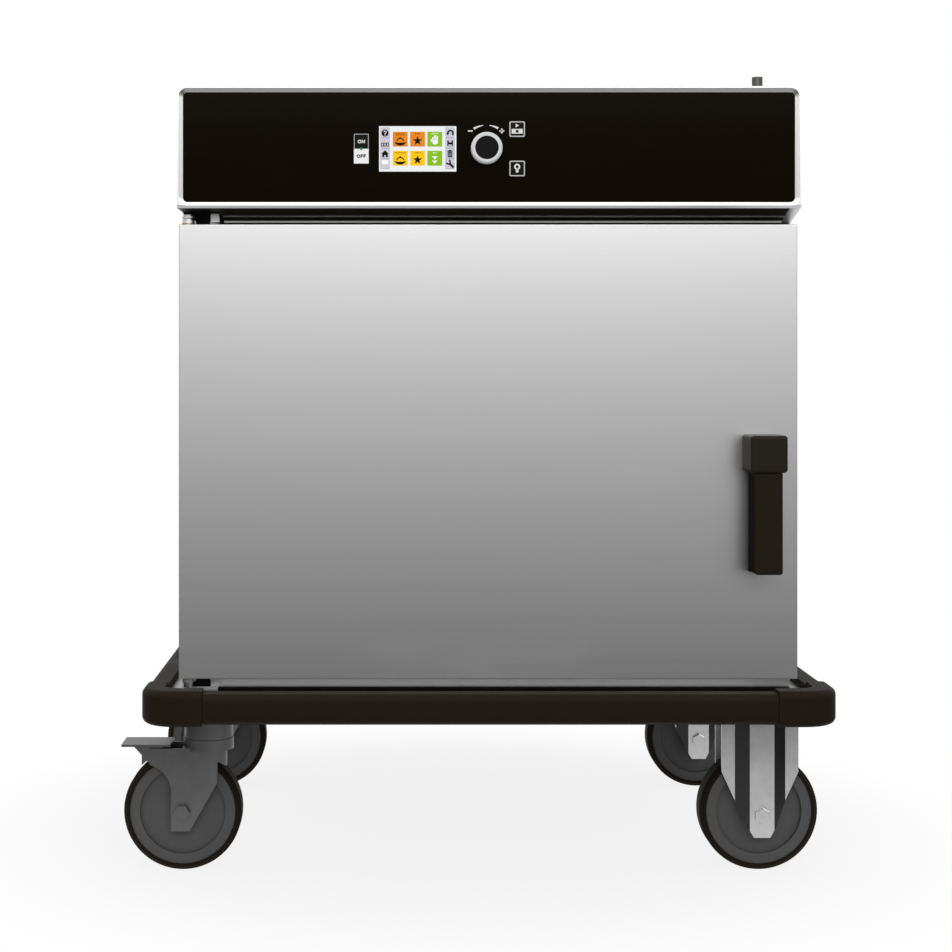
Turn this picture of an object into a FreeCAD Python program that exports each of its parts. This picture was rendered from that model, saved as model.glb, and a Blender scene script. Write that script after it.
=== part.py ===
"""Food regeneration trolley: an insulated oven cabinet with one hinged door on a bumpered base with casters.

Millimetres, +Z up, the front faces -Y. Pieces are built about the middle of the cabinet and then moved
together, so that the origin lies on the floor under the middle of the overall outline.
"""
import FreeCAD, Part
import math
import os

V = FreeCAD.Vector

# Running and seating clearances
RUNNING_FIT = 0.05
SEAT_GAP = 0.3

# Cabinet
CABINET_WIDTH = 800.0
CABINET_DEPTH = 725.0
CABINET_HEIGHT = 784.0
SHEET = 1.5
FRAME_SHEET = 2.0

# Oven chamber
CHAMBER_SIDE_WALL = 60.0
MOTOR_BAY = 75.0
INSULATION_BACK = 45.0
INSULATION_TOP = 40.0
GASKET_OFFSET = 8.0
GASKET_WIDTH = 14.0
GASKET_ROUND = 2.0

# Tray racks
RACK_LEVELS = 6
RACK_TOP_GAP = 8.0
RACK_FIRST_LEVEL = 60.0
RACK_SHEET = 2.0
LEDGE_REACH = 26.0
LEDGE_LIP = 6.0
RACK_REAR_GAP = 10.0
UPRIGHT_WIDTH = 24.0
UPRIGHT_DEPTH = 6.0
UPRIGHT_SPACING = 340.0
RACK_SETBACK = 20.0

# Air circulation
PLENUM_DEPTH = 70.0
BAFFLE_SHEET = 1.5
GRILLE_RADIUS = 95.0
GRILLE_SLOTS = 9
GRILLE_SLOT_HEIGHT = 9.0
OUTLET_SLOTS = 7
OUTLET_SLOT_WIDTH = 12.0
OUTLET_SLOT_HEIGHT = 44.0
OUTLET_INSET = 26.0
FAN_RADIUS = 110.0
FAN_WIDTH = 36.0
FAN_SHEET = 1.5
FAN_BLADES = 6
FAN_BLADE_DEPTH = 34.0
FAN_HUB_RADIUS = 16.0
FAN_BACK_GAP = 12.0
FAN_SHAFT_RADIUS = 6.0
FAN_SHAFT_CLEARANCE = 3.0
MOTOR_RADIUS = 45.0
MOTOR_LENGTH = 55.0
MOTOR_FLANGE = 120.0
MOTOR_FLANGE_SHEET = 3.0
MOTOR_BORE_DEPTH = 30.0
HEATER_LOOP = 300.0
HEATER_BAR = 9.0
HEATER_LEG_SPACING = 40.0
HEATER_LEG_TAIL = 15.0

# Door
DOOR_THICKNESS = 40.0
DOOR_GAP = 5.0
DOOR_SILL = 21.0
DOOR_LAP_BOTTOM = 42.0
DOOR_LAP_TOP = 46.0
DOOR_EDGE_ROUND = 1.2
DOOR_PAN_LIP = 12.0

# Door hinges
HINGE_INSET_X = 11.0
HINGE_INSET_Y = 14.0
HINGE_PIN_RADIUS = 4.0
HINGE_PIN_REACH = 18.0
HINGE_LEAF = 4.0
HINGE_LEAF_WIDTH = 46.0
HINGE_FOOT_HEIGHT = 11.0
HINGE_NOSE_RADIUS = 8.0
HINGE_HEAD_RADIUS = 6.0
HINGE_HEAD_HEIGHT = 7.0
HINGE_CLEARANCE = 2.0
BUSH_RADIUS = 7.0
BUSH_FLANGE_RADIUS = 8.5
BUSH_FLANGE = 1.6
BUSH_LENGTH = 22.0

# Door handle
HANDLE_INSET = 48.0
HANDLE_TOP = 337.5
HEAD_SIZE = 47.0
HEAD_REACH = 58.0
HEAD_ROUND = 4.0
LEVER_WIDTH = 35.0
LEVER_LENGTH = 129.0
LEVER_WALL = 7.0
LEVER_RECESS = 3.0
LEVER_ROUND = 2.5
LEVER_CORNER = 4.0
LEVER_BARREL_RADIUS = 9.0
LEVER_BARREL_GAP = 1.5
LEVER_PIN_RADIUS = 4.0
LEVER_PIN_LENGTH = 90.0

# Door catch
STRIKE_SHEET = 1.0
STRIKE_HEIGHT = 64.0
STRIKE_WIDTH = 20.0
CATCH_WIDTH = 16.0
CATCH_HEIGHT = 60.0
CATCH_EDGE_OFFSET = 20.0

# Control panel
PANEL_HEIGHT = 156.0
PANEL_GAP = 19.0
PANEL_REACH = 22.0
BEZEL_WALL = 1.5
BEZEL_BORDER = 7.5
BEZEL_LEDGE = 5.0
BEZEL_DOOR_GAP = 4.0
BEZEL_BEVEL = 5.5
BEZEL_TOE = 4.0
GLASS_THICKNESS = 4.0
GLASS_CORNER = 6.0
GLASS_RECESS = 2.5
CONTROLS_LIFT = 76.0
DISPLAY_X = -91.4
DISPLAY_WIDTH = 99.0
DISPLAY_HEIGHT = 58.0
DISPLAY_DEPTH = 9.0
KNOB_X = -3.4
KNOB_RADIUS = 20.0
KNOB_FACE_RADIUS = 14.6
KNOB_HEIGHT = 15.0
KNOB_DISH = 1.5
KNOB_ROUND = 2.0
KNOB_SHAFT_RADIUS = 3.0
ROCKER_X = -163.7
ROCKER_WIDTH = 19.0
ROCKER_HEIGHT = 38.0
ROCKER_PROUD = 2.2
ROCKER_PIVOT_DEPTH = 9.0
ROCKER_PIVOT_RADIUS = 2.5
ROCKER_END_GAP = 1.2
ROCKER_HOLLOW = 1.4
ROCKER_EAR = 3.0
KEY_X = 36.1
KEY_SIZE = 20.4
KEY_DEPTH = 6.0
KEY_PROUD = 0.4
KEY_SPACING = 50.5
KEY_TRAVEL = 1.2
KEY_STEM_RADIUS = 3.0
BOARD_WIDTH = 236.0
BOARD_HEIGHT = 100.0
BOARD_SHEET = 2.0
BOARD_DEPTH = 18.0
BOARD_PILLAR = 7.0
ENCODER_SIZE = 14.0

# Vent pipe and power inlet
VENT_INSET = 39.0
VENT_FOOT_INSET = 24.0
VENT_CROSS_LIFT = 45.0
VENT_SETBACK = 20.0
VENT_RISE = 25.0
VENT_RADIUS = 7.0
VENT_WALL = 1.5
VENT_COLLAR_RADIUS = 12.0
VENT_COLLAR_RISE = 5.0
VENT_FLANGE_RADIUS = 18.0
VENT_FLANGE = 3.0
INLET_INSET = 100.0
INLET_DROP = 100.0
INLET_RADIUS = 12.0
INLET_BORE_RADIUS = 6.0
INLET_REACH = 24.0
INLET_FLANGE = 46.0
INLET_FLANGE_SHEET = 4.0
LOUVRE_COUNT = 8
LOUVRE_WIDTH = 90.0
LOUVRE_HEIGHT = 5.0
LOUVRE_PITCH = 13.0
LOUVRE_X = 180.0

# Rolling base
CASTER_HEIGHT = 225.0
FRAME_HEIGHT = 30.0
FRAME_FLANGE = 40.0
FRAME_WALL = 3.0
FRAME_CORNER = 17.0
DECK_SHEET = 3.0
BEARER_WIDTH = 124.0
BUMPER_REACH_X = 44.0
BUMPER_REACH_Y = 55.0
BUMPER_THICKNESS = 28.0
BUMPER_HEIGHT = 38.0
BUMPER_LIP = 10.0
BUMPER_CORNER = 45.0
BUMPER_EDGE = 9.0
CORNER_LENGTH = 79.0
CORNER_PROUD = 1.5
CORNER_RISE = 4.0

# Casters
CASTER_INSET_X = 42.0
CASTER_INSET_Y = 162.0
CASTER_TRAIL = 34.0
CASTER_PLATE = 4.0
CASTER_PLATE_WIDTH = 78.0
CASTER_PLATE_LENGTH = 110.0
WHEEL_RADIUS = 80.0
RIM_RADIUS = 71.5
RIM_WIDTH = 32.0
RIM_LIP = 13.5
HUB_WEB = 20.0
HUB_BOSS_RADIUS = 17.0
TYRE_WIDTH = 36.0
TYRE_SHOULDER = 5.0
AXLE_RADIUS = 6.0
AXLE_HEAD_ACROSS = 19.0
AXLE_HEAD_HEIGHT = 7.0
FORK_INSIDE = 44.0
FORK_SHEET = 3.0
FORK_WHEEL_GAP = 3.0
FORK_FOOT = 26.0
FORK_FOOT_WIDTH = 25.0
FORK_FOOT_SHIFT = 2.5
FORK_CHEEK_BACK = 44.0
FORK_CHEEK_DROP = 26.0
FORK_BACK_DROP = 22.0
FORK_NECK_LIFT = 32.0
RACE_RADIUS = 34.0
LOWER_RACE_HEIGHT = 12.0
UPPER_RACE_RADIUS = 33.0
KING_PIN_RADIUS = 8.0
KING_NUT_RADIUS = 12.0
KING_NUT_HEIGHT = 3.5
PEDAL_TIP = 82.0
PEDAL_ROOT = 16.0
PEDAL_SHEET = 3.0
PEDAL_WIDTH = 52.0
PEDAL_LIFT = 2.6
PEDAL_WEB = 2.4
PEDAL_PIVOT_X = 34.0
PEDAL_PIVOT_Z = 78.0
PEDAL_PIVOT_RADIUS = 3.0
PEDAL_WING_TIP = 66.0
PEDAL_WING_DROP = 24.0
SHOE_NEAR = 42.0
SHOE_FAR = 56.0
SHOE_WIDTH = 28.0
BRAKE_GAP = 3.2
RIGID_FORK_WIDTH = 104.0
RIGID_FORK_SHOULDER = 55.0
RIGID_FORK_WAIST = 19.0
RIGID_FORK_FOOT = 31.0
RIGID_FORK_TOE = 22.0
RIGID_RIB_WIDTH = 36.0
RIGID_RIB_FOOT = 68.0
RIGID_RIB_DEPTH = 6.0
SPACER_ACROSS = 22.0

# Planes worked out from the sizes above
HALF_WIDTH = CABINET_WIDTH / 2
FULL_DEPTH = CABINET_DEPTH + DOOR_GAP + DOOR_THICKNESS
DOOR_FRONT = -FULL_DEPTH / 2
DOOR_BACK = DOOR_FRONT + DOOR_THICKNESS
FRAME_FRONT = DOOR_BACK + DOOR_GAP
FRAME_BACK = FRAME_FRONT + FRAME_SHEET
BACK = FULL_DEPTH / 2
FRAME_BOTTOM = CASTER_HEIGHT
FRAME_TOP = FRAME_BOTTOM + FRAME_HEIGHT
DECK_TOP = FRAME_TOP + DECK_SHEET
CABINET_TOP = DECK_TOP + CABINET_HEIGHT
FRAME_X = HALF_WIDTH + BUMPER_REACH_X - BUMPER_THICKNESS
FRAME_Y = FULL_DEPTH / 2 + BUMPER_REACH_Y - BUMPER_THICKNESS
CASTER_X = FRAME_X - CASTER_INSET_X
CASTER_Y = FRAME_Y - CASTER_INSET_Y
PANEL_FRONT = DOOR_FRONT - PANEL_REACH
PANEL_BOTTOM = CABINET_TOP - PANEL_HEIGHT
DOOR_BOTTOM = DECK_TOP + DOOR_SILL
DOOR_TOP = PANEL_BOTTOM - PANEL_GAP
CHAMBER_WIDTH = CABINET_WIDTH - 2 * CHAMBER_SIDE_WALL
CHAMBER_FLOOR = DOOR_BOTTOM + DOOR_LAP_BOTTOM
CHAMBER_CEILING = DOOR_TOP - DOOR_LAP_TOP
CHAMBER_HEIGHT = CHAMBER_CEILING - CHAMBER_FLOOR
CHAMBER_MIDDLE = CHAMBER_FLOOR + CHAMBER_HEIGHT / 2
INSULATION_END = BACK - SHEET - MOTOR_BAY
INSULATION_CEILING = CHAMBER_CEILING + SHEET + INSULATION_TOP
CHAMBER_BACK = INSULATION_END - INSULATION_BACK - SHEET
BAFFLE_FRONT = CHAMBER_BACK - PLENUM_DEPTH
LEDGE_START = FRAME_BACK + RACK_SETBACK
LEDGE_END = BAFFLE_FRONT - RACK_REAR_GAP
RACK_PITCH = (CHAMBER_HEIGHT - RACK_FIRST_LEVEL - RACK_TOP_GAP) / RACK_LEVELS
GLASS_FRONT = PANEL_FRONT + GLASS_RECESS
GLASS_BACK = GLASS_FRONT + GLASS_THICKNESS
CONTROLS_Z = PANEL_BOTTOM + CONTROLS_LIFT
BOARD_FRONT = GLASS_BACK + BOARD_DEPTH
HINGE_X = -HALF_WIDTH + HINGE_INSET_X
HINGE_Y = DOOR_FRONT + HINGE_INSET_Y
HANDLE_X = HALF_WIDTH - HANDLE_INSET
HANDLE_TOP_Z = DECK_TOP + HANDLE_TOP
HEAD_BOTTOM = HANDLE_TOP_Z - HEAD_SIZE
HEAD_FRONT = DOOR_FRONT - HEAD_REACH
LEVER_LEFT = HANDLE_X - LEVER_WIDTH / 2
LEVER_FRONT = HEAD_FRONT + LEVER_RECESS
LEVER_TOP = HEAD_BOTTOM - SEAT_GAP
LEVER_BOTTOM = LEVER_TOP - LEVER_LENGTH
LEVER_PIVOT_X = LEVER_LEFT + LEVER_BARREL_RADIUS
LEVER_PIVOT_Y = DOOR_FRONT - LEVER_BARREL_GAP - LEVER_BARREL_RADIUS
FORK_TOP = 2 * WHEEL_RADIUS + FORK_WHEEL_GAP + FORK_SHEET
FORK_HALF = FORK_INSIDE / 2
PLATE_BOTTOM = CASTER_HEIGHT - CASTER_PLATE
VENT_X = HALF_WIDTH - VENT_INSET
VENT_FOOT_X = CHAMBER_WIDTH / 2 - VENT_FOOT_INSET
VENT_Y = FRAME_FRONT + VENT_SETBACK
VENT_TOP = CABINET_TOP + VENT_RISE
INLET_X = -HALF_WIDTH + INLET_INSET
HEATER_LEG_Z = CHAMBER_MIDDLE + HEATER_LOOP / 2


def block(x, y, z):
    """Box between a low and a high value on each axis."""
    return Part.makeBox(x[1] - x[0], y[1] - y[0], z[1] - z[0], V(x[0], y[0], z[0]))


def centred(half_x, half_y, z):
    """Box about the vertical axis, given its half sizes and its heights."""
    return block((-half_x, half_x), (-half_y, half_y), z)


def rod(radius, start, end):
    """Cylinder from one point to another."""
    line = V(*end) - V(*start)
    return Part.makeCylinder(radius, line.Length, V(*start), line)


def square_bar(half, start, end):
    """Square bar along one axis from one point to another, given half its width."""
    spans = []
    for low, high in zip(start, end):
        pad = half if low == high else 0
        spans.append((min(low, high) - pad, max(low, high) + pad))
    return block(*spans)


def runs_along(edge, axis):
    """True for a straight edge along one axis."""
    if not isinstance(edge.Curve, (Part.Line, Part.LineSegment)):
        return False
    return abs(edge.tangentAt(edge.FirstParameter).dot(axis)) > 0.999


def round_edges(shape, radius, wanted):
    """Fillet the edges that the test picks."""
    return shape.makeFillet(radius, [edge for edge in shape.Edges if wanted(edge)])


def rounded_block(half_x, half_y, radius, z):
    """Box about the vertical axis with its four upright edges rounded."""
    return round_edges(centred(half_x, half_y, z), radius, lambda edge: runs_along(edge, V(0, 0, 1)))


def upright_prism(points, y):
    """Outline of (x, z) points carried along Y between two values."""
    wire = Part.makePolygon([V(px, y[0], pz) for px, pz in points + points[:1]])
    return Part.Face(wire).extrude(V(0, y[1] - y[0], 0))


def plan_prism(points, z):
    """Outline of (x, y) points carried up between two heights."""
    wire = Part.makePolygon([V(px, py, z[0]) for px, py in points + points[:1]])
    return Part.Face(wire).extrude(V(0, 0, z[1] - z[0]))


def turned(points, x, y, z):
    """Solid of revolution about a Y axis through a point, from (radius, y) points."""
    wire = Part.makePolygon([V(radius, along, 0) for radius, along in points + points[:1]])
    solid = Part.Face(wire).revolve(V(0, 0, 0), V(0, 1, 0), 360)
    return solid.translated(V(x, y, z))


def hexagon(across, y, x, z):
    """Hexagonal prism along Y, given its width across flats."""
    radius = across / math.sqrt(3)
    corners = [math.radians(60 * step) for step in range(6)]
    return upright_prism([(x + radius * math.cos(a), z + radius * math.sin(a)) for a in corners], y)


def joined(first, *others):
    """One solid out of touching or overlapping solids."""
    return first.fuse(list(others)).removeSplitter()


def mirrored_y(shape, y):
    """Copy of a shape mirrored in an upright plane across the depth."""
    return shape.mirror(V(0, y, 0), V(0, 1, 0))


def window(size_x, size_z, x, z, y, gap):
    """Cutter for a rectangular window with a gap all round."""
    half_x = size_x / 2 + gap
    half_z = size_z / 2 + gap
    return block((x - half_x, x + half_x), y, (z - half_z, z + half_z))


# Rolling base

def base_frame():
    """Rim of inward-facing channel with two U-shaped bearers that carry the casters."""
    heights = (FRAME_BOTTOM, FRAME_TOP)
    inner_heights = (FRAME_BOTTOM + FRAME_WALL, FRAME_TOP - FRAME_WALL)
    rim = rounded_block(FRAME_X, FRAME_Y, FRAME_CORNER, heights)
    rim = rim.cut(centred(FRAME_X - FRAME_FLANGE, FRAME_Y - FRAME_FLANGE, heights))
    inner_corner = FRAME_CORNER - FRAME_WALL
    rim = rim.cut(rounded_block(FRAME_X - FRAME_WALL, FRAME_Y - FRAME_WALL, inner_corner, inner_heights))
    bearers = []
    for side in (-1, 1):
        span = (-FRAME_X + FRAME_WALL, FRAME_X - FRAME_WALL)
        middle = side * CASTER_Y
        outside = BEARER_WIDTH / 2
        inside = outside - FRAME_WALL
        bearer = block(span, (middle - outside, middle + outside), (FRAME_BOTTOM, inner_heights[1]))
        bearers.append(bearer.cut(block(span, (middle - inside, middle + inside), inner_heights)))
    return joined(rim, *bearers)


def base_deck():
    """Flat deck sheet on top of the rim."""
    return rounded_block(FRAME_X, FRAME_Y, FRAME_CORNER, (FRAME_TOP, DECK_TOP))


def bumper_ring(proud, rise):
    """Whole bumper band round the base, grown outwards and in height, with its outer edges rounded."""
    half_x = HALF_WIDTH + BUMPER_REACH_X + proud
    half_y = FULL_DEPTH / 2 + BUMPER_REACH_Y + proud
    top = DECK_TOP + BUMPER_LIP + rise
    bottom = DECK_TOP + BUMPER_LIP - BUMPER_HEIGHT - rise
    ring = rounded_block(half_x, half_y, BUMPER_CORNER + proud, (bottom, top))
    ring = round_edges(ring, BUMPER_EDGE, lambda edge: not runs_along(edge, V(0, 0, 1)))
    corner = FRAME_CORNER + SEAT_GAP
    return ring.cut(rounded_block(FRAME_X + SEAT_GAP, FRAME_Y + SEAT_GAP, corner, (bottom, top)))


def bumpers():
    """Four straight bumper lengths between four larger corner mouldings."""
    straight = bumper_ring(0, 0)
    fat = bumper_ring(CORNER_PROUD, CORNER_RISE)
    heights = (DECK_TOP + BUMPER_LIP - 2 * BUMPER_HEIGHT, DECK_TOP + BUMPER_LIP + BUMPER_HEIGHT)
    far_x = HALF_WIDTH + BUMPER_REACH_X + BUMPER_THICKNESS
    far_y = FULL_DEPTH / 2 + BUMPER_REACH_Y + BUMPER_THICKNESS
    end_x = HALF_WIDTH + BUMPER_REACH_X - CORNER_LENGTH
    end_y = FULL_DEPTH / 2 + BUMPER_REACH_Y - CORNER_LENGTH
    corners = []
    for side_x in (-1, 1):
        for side_y in (-1, 1):
            x = sorted((side_x * end_x, side_x * far_x))
            y = sorted((side_y * end_y, side_y * far_y))
            corners.append(fat.common(block(x, y, heights)))
    run_x = (-end_x + SEAT_GAP, end_x - SEAT_GAP)
    run_y = (-end_y + SEAT_GAP, end_y - SEAT_GAP)
    return {
        "front_bumper": straight.common(block(run_x, (-far_y, 0), heights)),
        "rear_bumper": straight.common(block(run_x, (0, far_y), heights)),
        "left_bumper": straight.common(block((-far_x, 0), run_y, heights)),
        "right_bumper": straight.common(block((0, far_x), run_y, heights)),
        "bumper_corners": Part.makeCompound([piece.Solids[0] for piece in corners]),
    }


# Casters

def wheel_hub(x, y):
    """Moulded wheel centre: raised rim, flat web and a boss bored for the axle."""
    boss = FORK_HALF - SEAT_GAP
    half = [
        (AXLE_RADIUS + RUNNING_FIT, boss),
        (HUB_BOSS_RADIUS, boss),
        (HUB_BOSS_RADIUS, HUB_WEB / 2),
        (RIM_RADIUS - RIM_LIP, HUB_WEB / 2),
        (RIM_RADIUS - RIM_LIP, RIM_WIDTH / 2),
        (RIM_RADIUS, RIM_WIDTH / 2),
    ]
    return turned(half + [(radius, -along) for radius, along in reversed(half)], x, y, WHEEL_RADIUS)


def tyre(x, y):
    """Rubber tyre with bevelled shoulders round the wheel centre."""
    half = TYRE_WIDTH / 2
    side = [
        (RIM_RADIUS + RUNNING_FIT, half),
        (WHEEL_RADIUS - TYRE_SHOULDER, half),
        (WHEEL_RADIUS, half - TYRE_SHOULDER),
    ]
    return turned(side + [(radius, -along) for radius, along in reversed(side)], x, y, WHEEL_RADIUS)


def axle(x, y, half_grip):
    """Axle bolt with a hexagon head and nut outside the fork."""
    reach = half_grip + AXLE_HEAD_HEIGHT
    shaft = rod(AXLE_RADIUS, (x, y - reach, WHEEL_RADIUS), (x, y + reach, WHEEL_RADIUS))
    ends = [(y - reach, y - half_grip), (y + half_grip, y + reach)]
    return joined(shaft, *[hexagon(AXLE_HEAD_ACROSS, span, x, WHEEL_RADIUS) for span in ends])


def spaced_axle(x, y):
    """Axle of a fixed fork, with a hexagon spacer in the hollow of each rib."""
    near = FORK_HALF
    far = FORK_HALF + RIGID_RIB_DEPTH
    spans = [(y - far, y - near), (y + near, y + far)]
    spacers = [hexagon(SPACER_ACROSS, span, x, WHEEL_RADIUS) for span in spans]
    return joined(axle(x, y, far + FORK_SHEET), *spacers)


def axle_hole(x, y):
    """Cutter for the axle through both fork cheeks."""
    reach = FORK_INSIDE + FORK_SHEET
    return rod(AXLE_RADIUS + RUNNING_FIT, (x, y - reach, WHEEL_RADIUS), (x, y + reach, WHEEL_RADIUS))


def swivel_side(x, front, y):
    """Side outline of the swivel fork: a straight leg, a slanted front and a back hollowed by an arc."""
    base = WHEEL_RADIUS
    foot = FORK_FOOT_WIDTH / 2
    back_low = V(x - foot - FORK_FOOT_SHIFT, y[0], base + FORK_NECK_LIFT)
    back_high = V(x - FORK_CHEEK_BACK, y[0], FORK_TOP - FORK_BACK_DROP)
    bulge = (back_low + back_high) * 0.5 + V(1, 0, 1) * (FORK_SHEET + FORK_SHEET / 2)
    outline = [
        back_high,
        V(x - FORK_CHEEK_BACK, y[0], FORK_TOP),
        V(front, y[0], FORK_TOP),
        V(front, y[0], FORK_TOP - FORK_CHEEK_DROP),
        V(x + foot - FORK_FOOT_SHIFT, y[0], base - FORK_FOOT),
        V(x - foot - FORK_FOOT_SHIFT, y[0], base - FORK_FOOT),
        back_low,
    ]
    edges = [Part.LineSegment(a, b).toShape() for a, b in zip(outline, outline[1:])]
    edges.append(Part.Arc(back_low, bulge, back_high).toShape())
    return Part.Face(Part.Wire(edges)).extrude(V(0, y[1] - y[0], 0))


def round_nosed(half, back, nose, y, heights):
    """Upright bar with a flat back end and a round nose of its own half width."""
    bar = block((back, nose), (y - half, y + half), heights)
    return bar.fuse(rod(half, (nose, y, heights[0]), (nose, y, heights[1])))


def swivel_fork(swivel_x, y):
    """Swivel fork: one sheet bent round the king pin, a crown and the lower ball race, bored for the axle."""
    x = swivel_x - CASTER_TRAIL
    outside = FORK_HALF + FORK_SHEET
    heights = (WHEEL_RADIUS - FORK_FOOT, FORK_TOP)
    back = x - FORK_CHEEK_BACK
    wall = round_nosed(outside, back, swivel_x, y, heights)
    wall = wall.cut(round_nosed(FORK_HALF, back, swivel_x, y, heights))
    wall = wall.common(swivel_side(x, swivel_x + outside, (y - outside, y + outside)))
    reach = TYRE_WIDTH / 2 + FORK_WHEEL_GAP
    wheel = rod(WHEEL_RADIUS + FORK_WHEEL_GAP, (x, y - reach, WHEEL_RADIUS), (x, y + reach, WHEEL_RADIUS))
    crown = round_nosed(outside, swivel_x - RACE_RADIUS, swivel_x, y, (FORK_TOP - FORK_SHEET, FORK_TOP))
    ear = rod(RACE_RADIUS, (swivel_x, y, FORK_TOP - FORK_SHEET), (swivel_x, y, FORK_TOP + LOWER_RACE_HEIGHT))
    fork = joined(crown, ear, wall.cut(wheel))
    pin_top = (swivel_x, y, CASTER_HEIGHT)
    fork = fork.cut(rod(KING_PIN_RADIUS + RUNNING_FIT, (swivel_x, y, WHEEL_RADIUS), pin_top))
    pivot_z = WHEEL_RADIUS + PEDAL_PIVOT_Z
    pivot = (x - PEDAL_PIVOT_X, y - FORK_INSIDE, pivot_z), (x - PEDAL_PIVOT_X, y + FORK_INSIDE, pivot_z)
    return fork.cut(rod(PEDAL_PIVOT_RADIUS + RUNNING_FIT, *pivot)).cut(axle_hole(x, y))


def swivel_plate(x, y):
    """Caster top plate with the upper ball race and the riveted king pin that carries the fork."""
    half_x = CASTER_PLATE_WIDTH / 2
    half_y = CASTER_PLATE_LENGTH / 2
    plate = block((x - half_x, x + half_x), (y - half_y, y + half_y), (PLATE_BOTTOM, CASTER_HEIGHT))
    race_bottom = FORK_TOP + LOWER_RACE_HEIGHT + SEAT_GAP
    race = rod(UPPER_RACE_RADIUS, (x, y, race_bottom), (x, y, PLATE_BOTTOM))
    nut_top = FORK_TOP - FORK_SHEET - SEAT_GAP
    pin = rod(KING_PIN_RADIUS, (x, y, nut_top - KING_NUT_HEIGHT), (x, y, PLATE_BOTTOM))
    nut = rod(KING_NUT_RADIUS, (x, y, nut_top - KING_NUT_HEIGHT), (x, y, nut_top))
    return joined(plate, race, pin, nut)


def brake_pedal(swivel_x, y):
    """Tread plate with two side wings, a cross pin through the fork and a shoe above the tyre."""
    x = swivel_x - CASTER_TRAIL
    half = PEDAL_WIDTH / 2
    low = FORK_TOP + PEDAL_LIFT
    tread = block((x - PEDAL_TIP, x - PEDAL_ROOT), (y - half, y + half), (low, low + PEDAL_SHEET))
    pivot_x = x - PEDAL_PIVOT_X
    pivot_z = WHEEL_RADIUS + PEDAL_PIVOT_Z
    collar = 2 * PEDAL_PIVOT_RADIUS
    wing = [
        (x - PEDAL_WING_TIP, low),
        (pivot_x + collar, low),
        (pivot_x + collar, pivot_z - collar),
        (x - FORK_CHEEK_BACK, low - PEDAL_WING_DROP),
    ]
    wing_out = FORK_HALF - SEAT_GAP
    wings = [upright_prism(wing, (y + at, y + at + PEDAL_WEB)) for at in (-wing_out, wing_out - PEDAL_WEB)]
    reach = FORK_HALF + FORK_SHEET
    pin = rod(PEDAL_PIVOT_RADIUS, (pivot_x, y - reach, pivot_z), (pivot_x, y + reach, pivot_z))
    shoe = block((x - SHOE_FAR, x - SHOE_NEAR), (y - SHOE_WIDTH / 2, y + SHOE_WIDTH / 2), (WHEEL_RADIUS, low))
    clear = WHEEL_RADIUS + BRAKE_GAP
    shoe = shoe.cut(rod(clear, (x, y - PEDAL_WIDTH, WHEEL_RADIUS), (x, y + PEDAL_WIDTH, WHEEL_RADIUS)))
    return joined(tread, pin, shoe, *wings)


def rigid_cheek(x, y):
    """Front cheek of the fixed fork: a sheet with a raised rib, cut to a shouldered V outline."""
    inner = y - FORK_HALF
    half = RIGID_FORK_WIDTH / 2
    rib = RIGID_RIB_WIDTH / 2
    foot = RIGID_RIB_FOOT / 2
    path = [(-half, 0), (-foot, 0), (-rib, RIGID_RIB_DEPTH), (rib, RIGID_RIB_DEPTH), (foot, 0), (half, 0)]
    outer = [(x + px, inner - rise - FORK_SHEET) for px, rise in path]
    back = [(x + px, inner - rise) for px, rise in reversed(path)]
    sheet = plan_prism(outer + back, (WHEEL_RADIUS - RIGID_FORK_FOOT, PLATE_BOTTOM))
    side = [
        (half, PLATE_BOTTOM),
        (half, WHEEL_RADIUS + RIGID_FORK_SHOULDER),
        (rib, WHEEL_RADIUS - RIGID_FORK_WAIST),
        (RIGID_FORK_TOE / 2, WHEEL_RADIUS - RIGID_FORK_FOOT),
    ]
    outline = [(x + px, pz) for px, pz in side] + [(x - px, pz) for px, pz in reversed(side)]
    return sheet.common(upright_prism(outline, (inner - FORK_INSIDE, inner + FORK_INSIDE)))


def rigid_fork(x, y):
    """Fixed fork: top plate and two ribbed cheeks, bored for the axle."""
    half_x = RIGID_FORK_WIDTH / 2
    half_y = CASTER_PLATE_LENGTH / 2
    plate_x = (x - half_x, x + CASTER_PLATE_WIDTH / 2)
    plate = block(plate_x, (y - half_y, y + half_y), (PLATE_BOTTOM, CASTER_HEIGHT))
    cheek = rigid_cheek(x, y)
    return joined(plate, cheek, mirrored_y(cheek, y)).cut(axle_hole(x, y))


def casters():
    """Two swivelling braked casters on the left and two fixed casters on the right."""
    pieces = {}
    for place, y in (("front", -CASTER_Y), ("rear", CASTER_Y)):
        left_wheel = -CASTER_X - CASTER_TRAIL
        left = place + "_left_"
        right = place + "_right_"
        pieces[left + "caster_plate"] = swivel_plate(-CASTER_X, y)
        pieces[left + "fork"] = swivel_fork(-CASTER_X, y)
        pieces[left + "brake_pedal"] = brake_pedal(-CASTER_X, y)
        pieces[left + "axle"] = axle(left_wheel, y, FORK_HALF + FORK_SHEET)
        pieces[left + "wheel"] = wheel_hub(left_wheel, y)
        pieces[left + "tyre"] = tyre(left_wheel, y)
        pieces[right + "fork"] = rigid_fork(CASTER_X, y)
        pieces[right + "wheel"] = wheel_hub(CASTER_X, y)
        pieces[right + "tyre"] = tyre(CASTER_X, y)
    pieces["right_axles"] = Part.makeCompound([spaced_axle(CASTER_X, y) for y in (-CASTER_Y, CASTER_Y)])
    return pieces


# Cabinet

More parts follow.
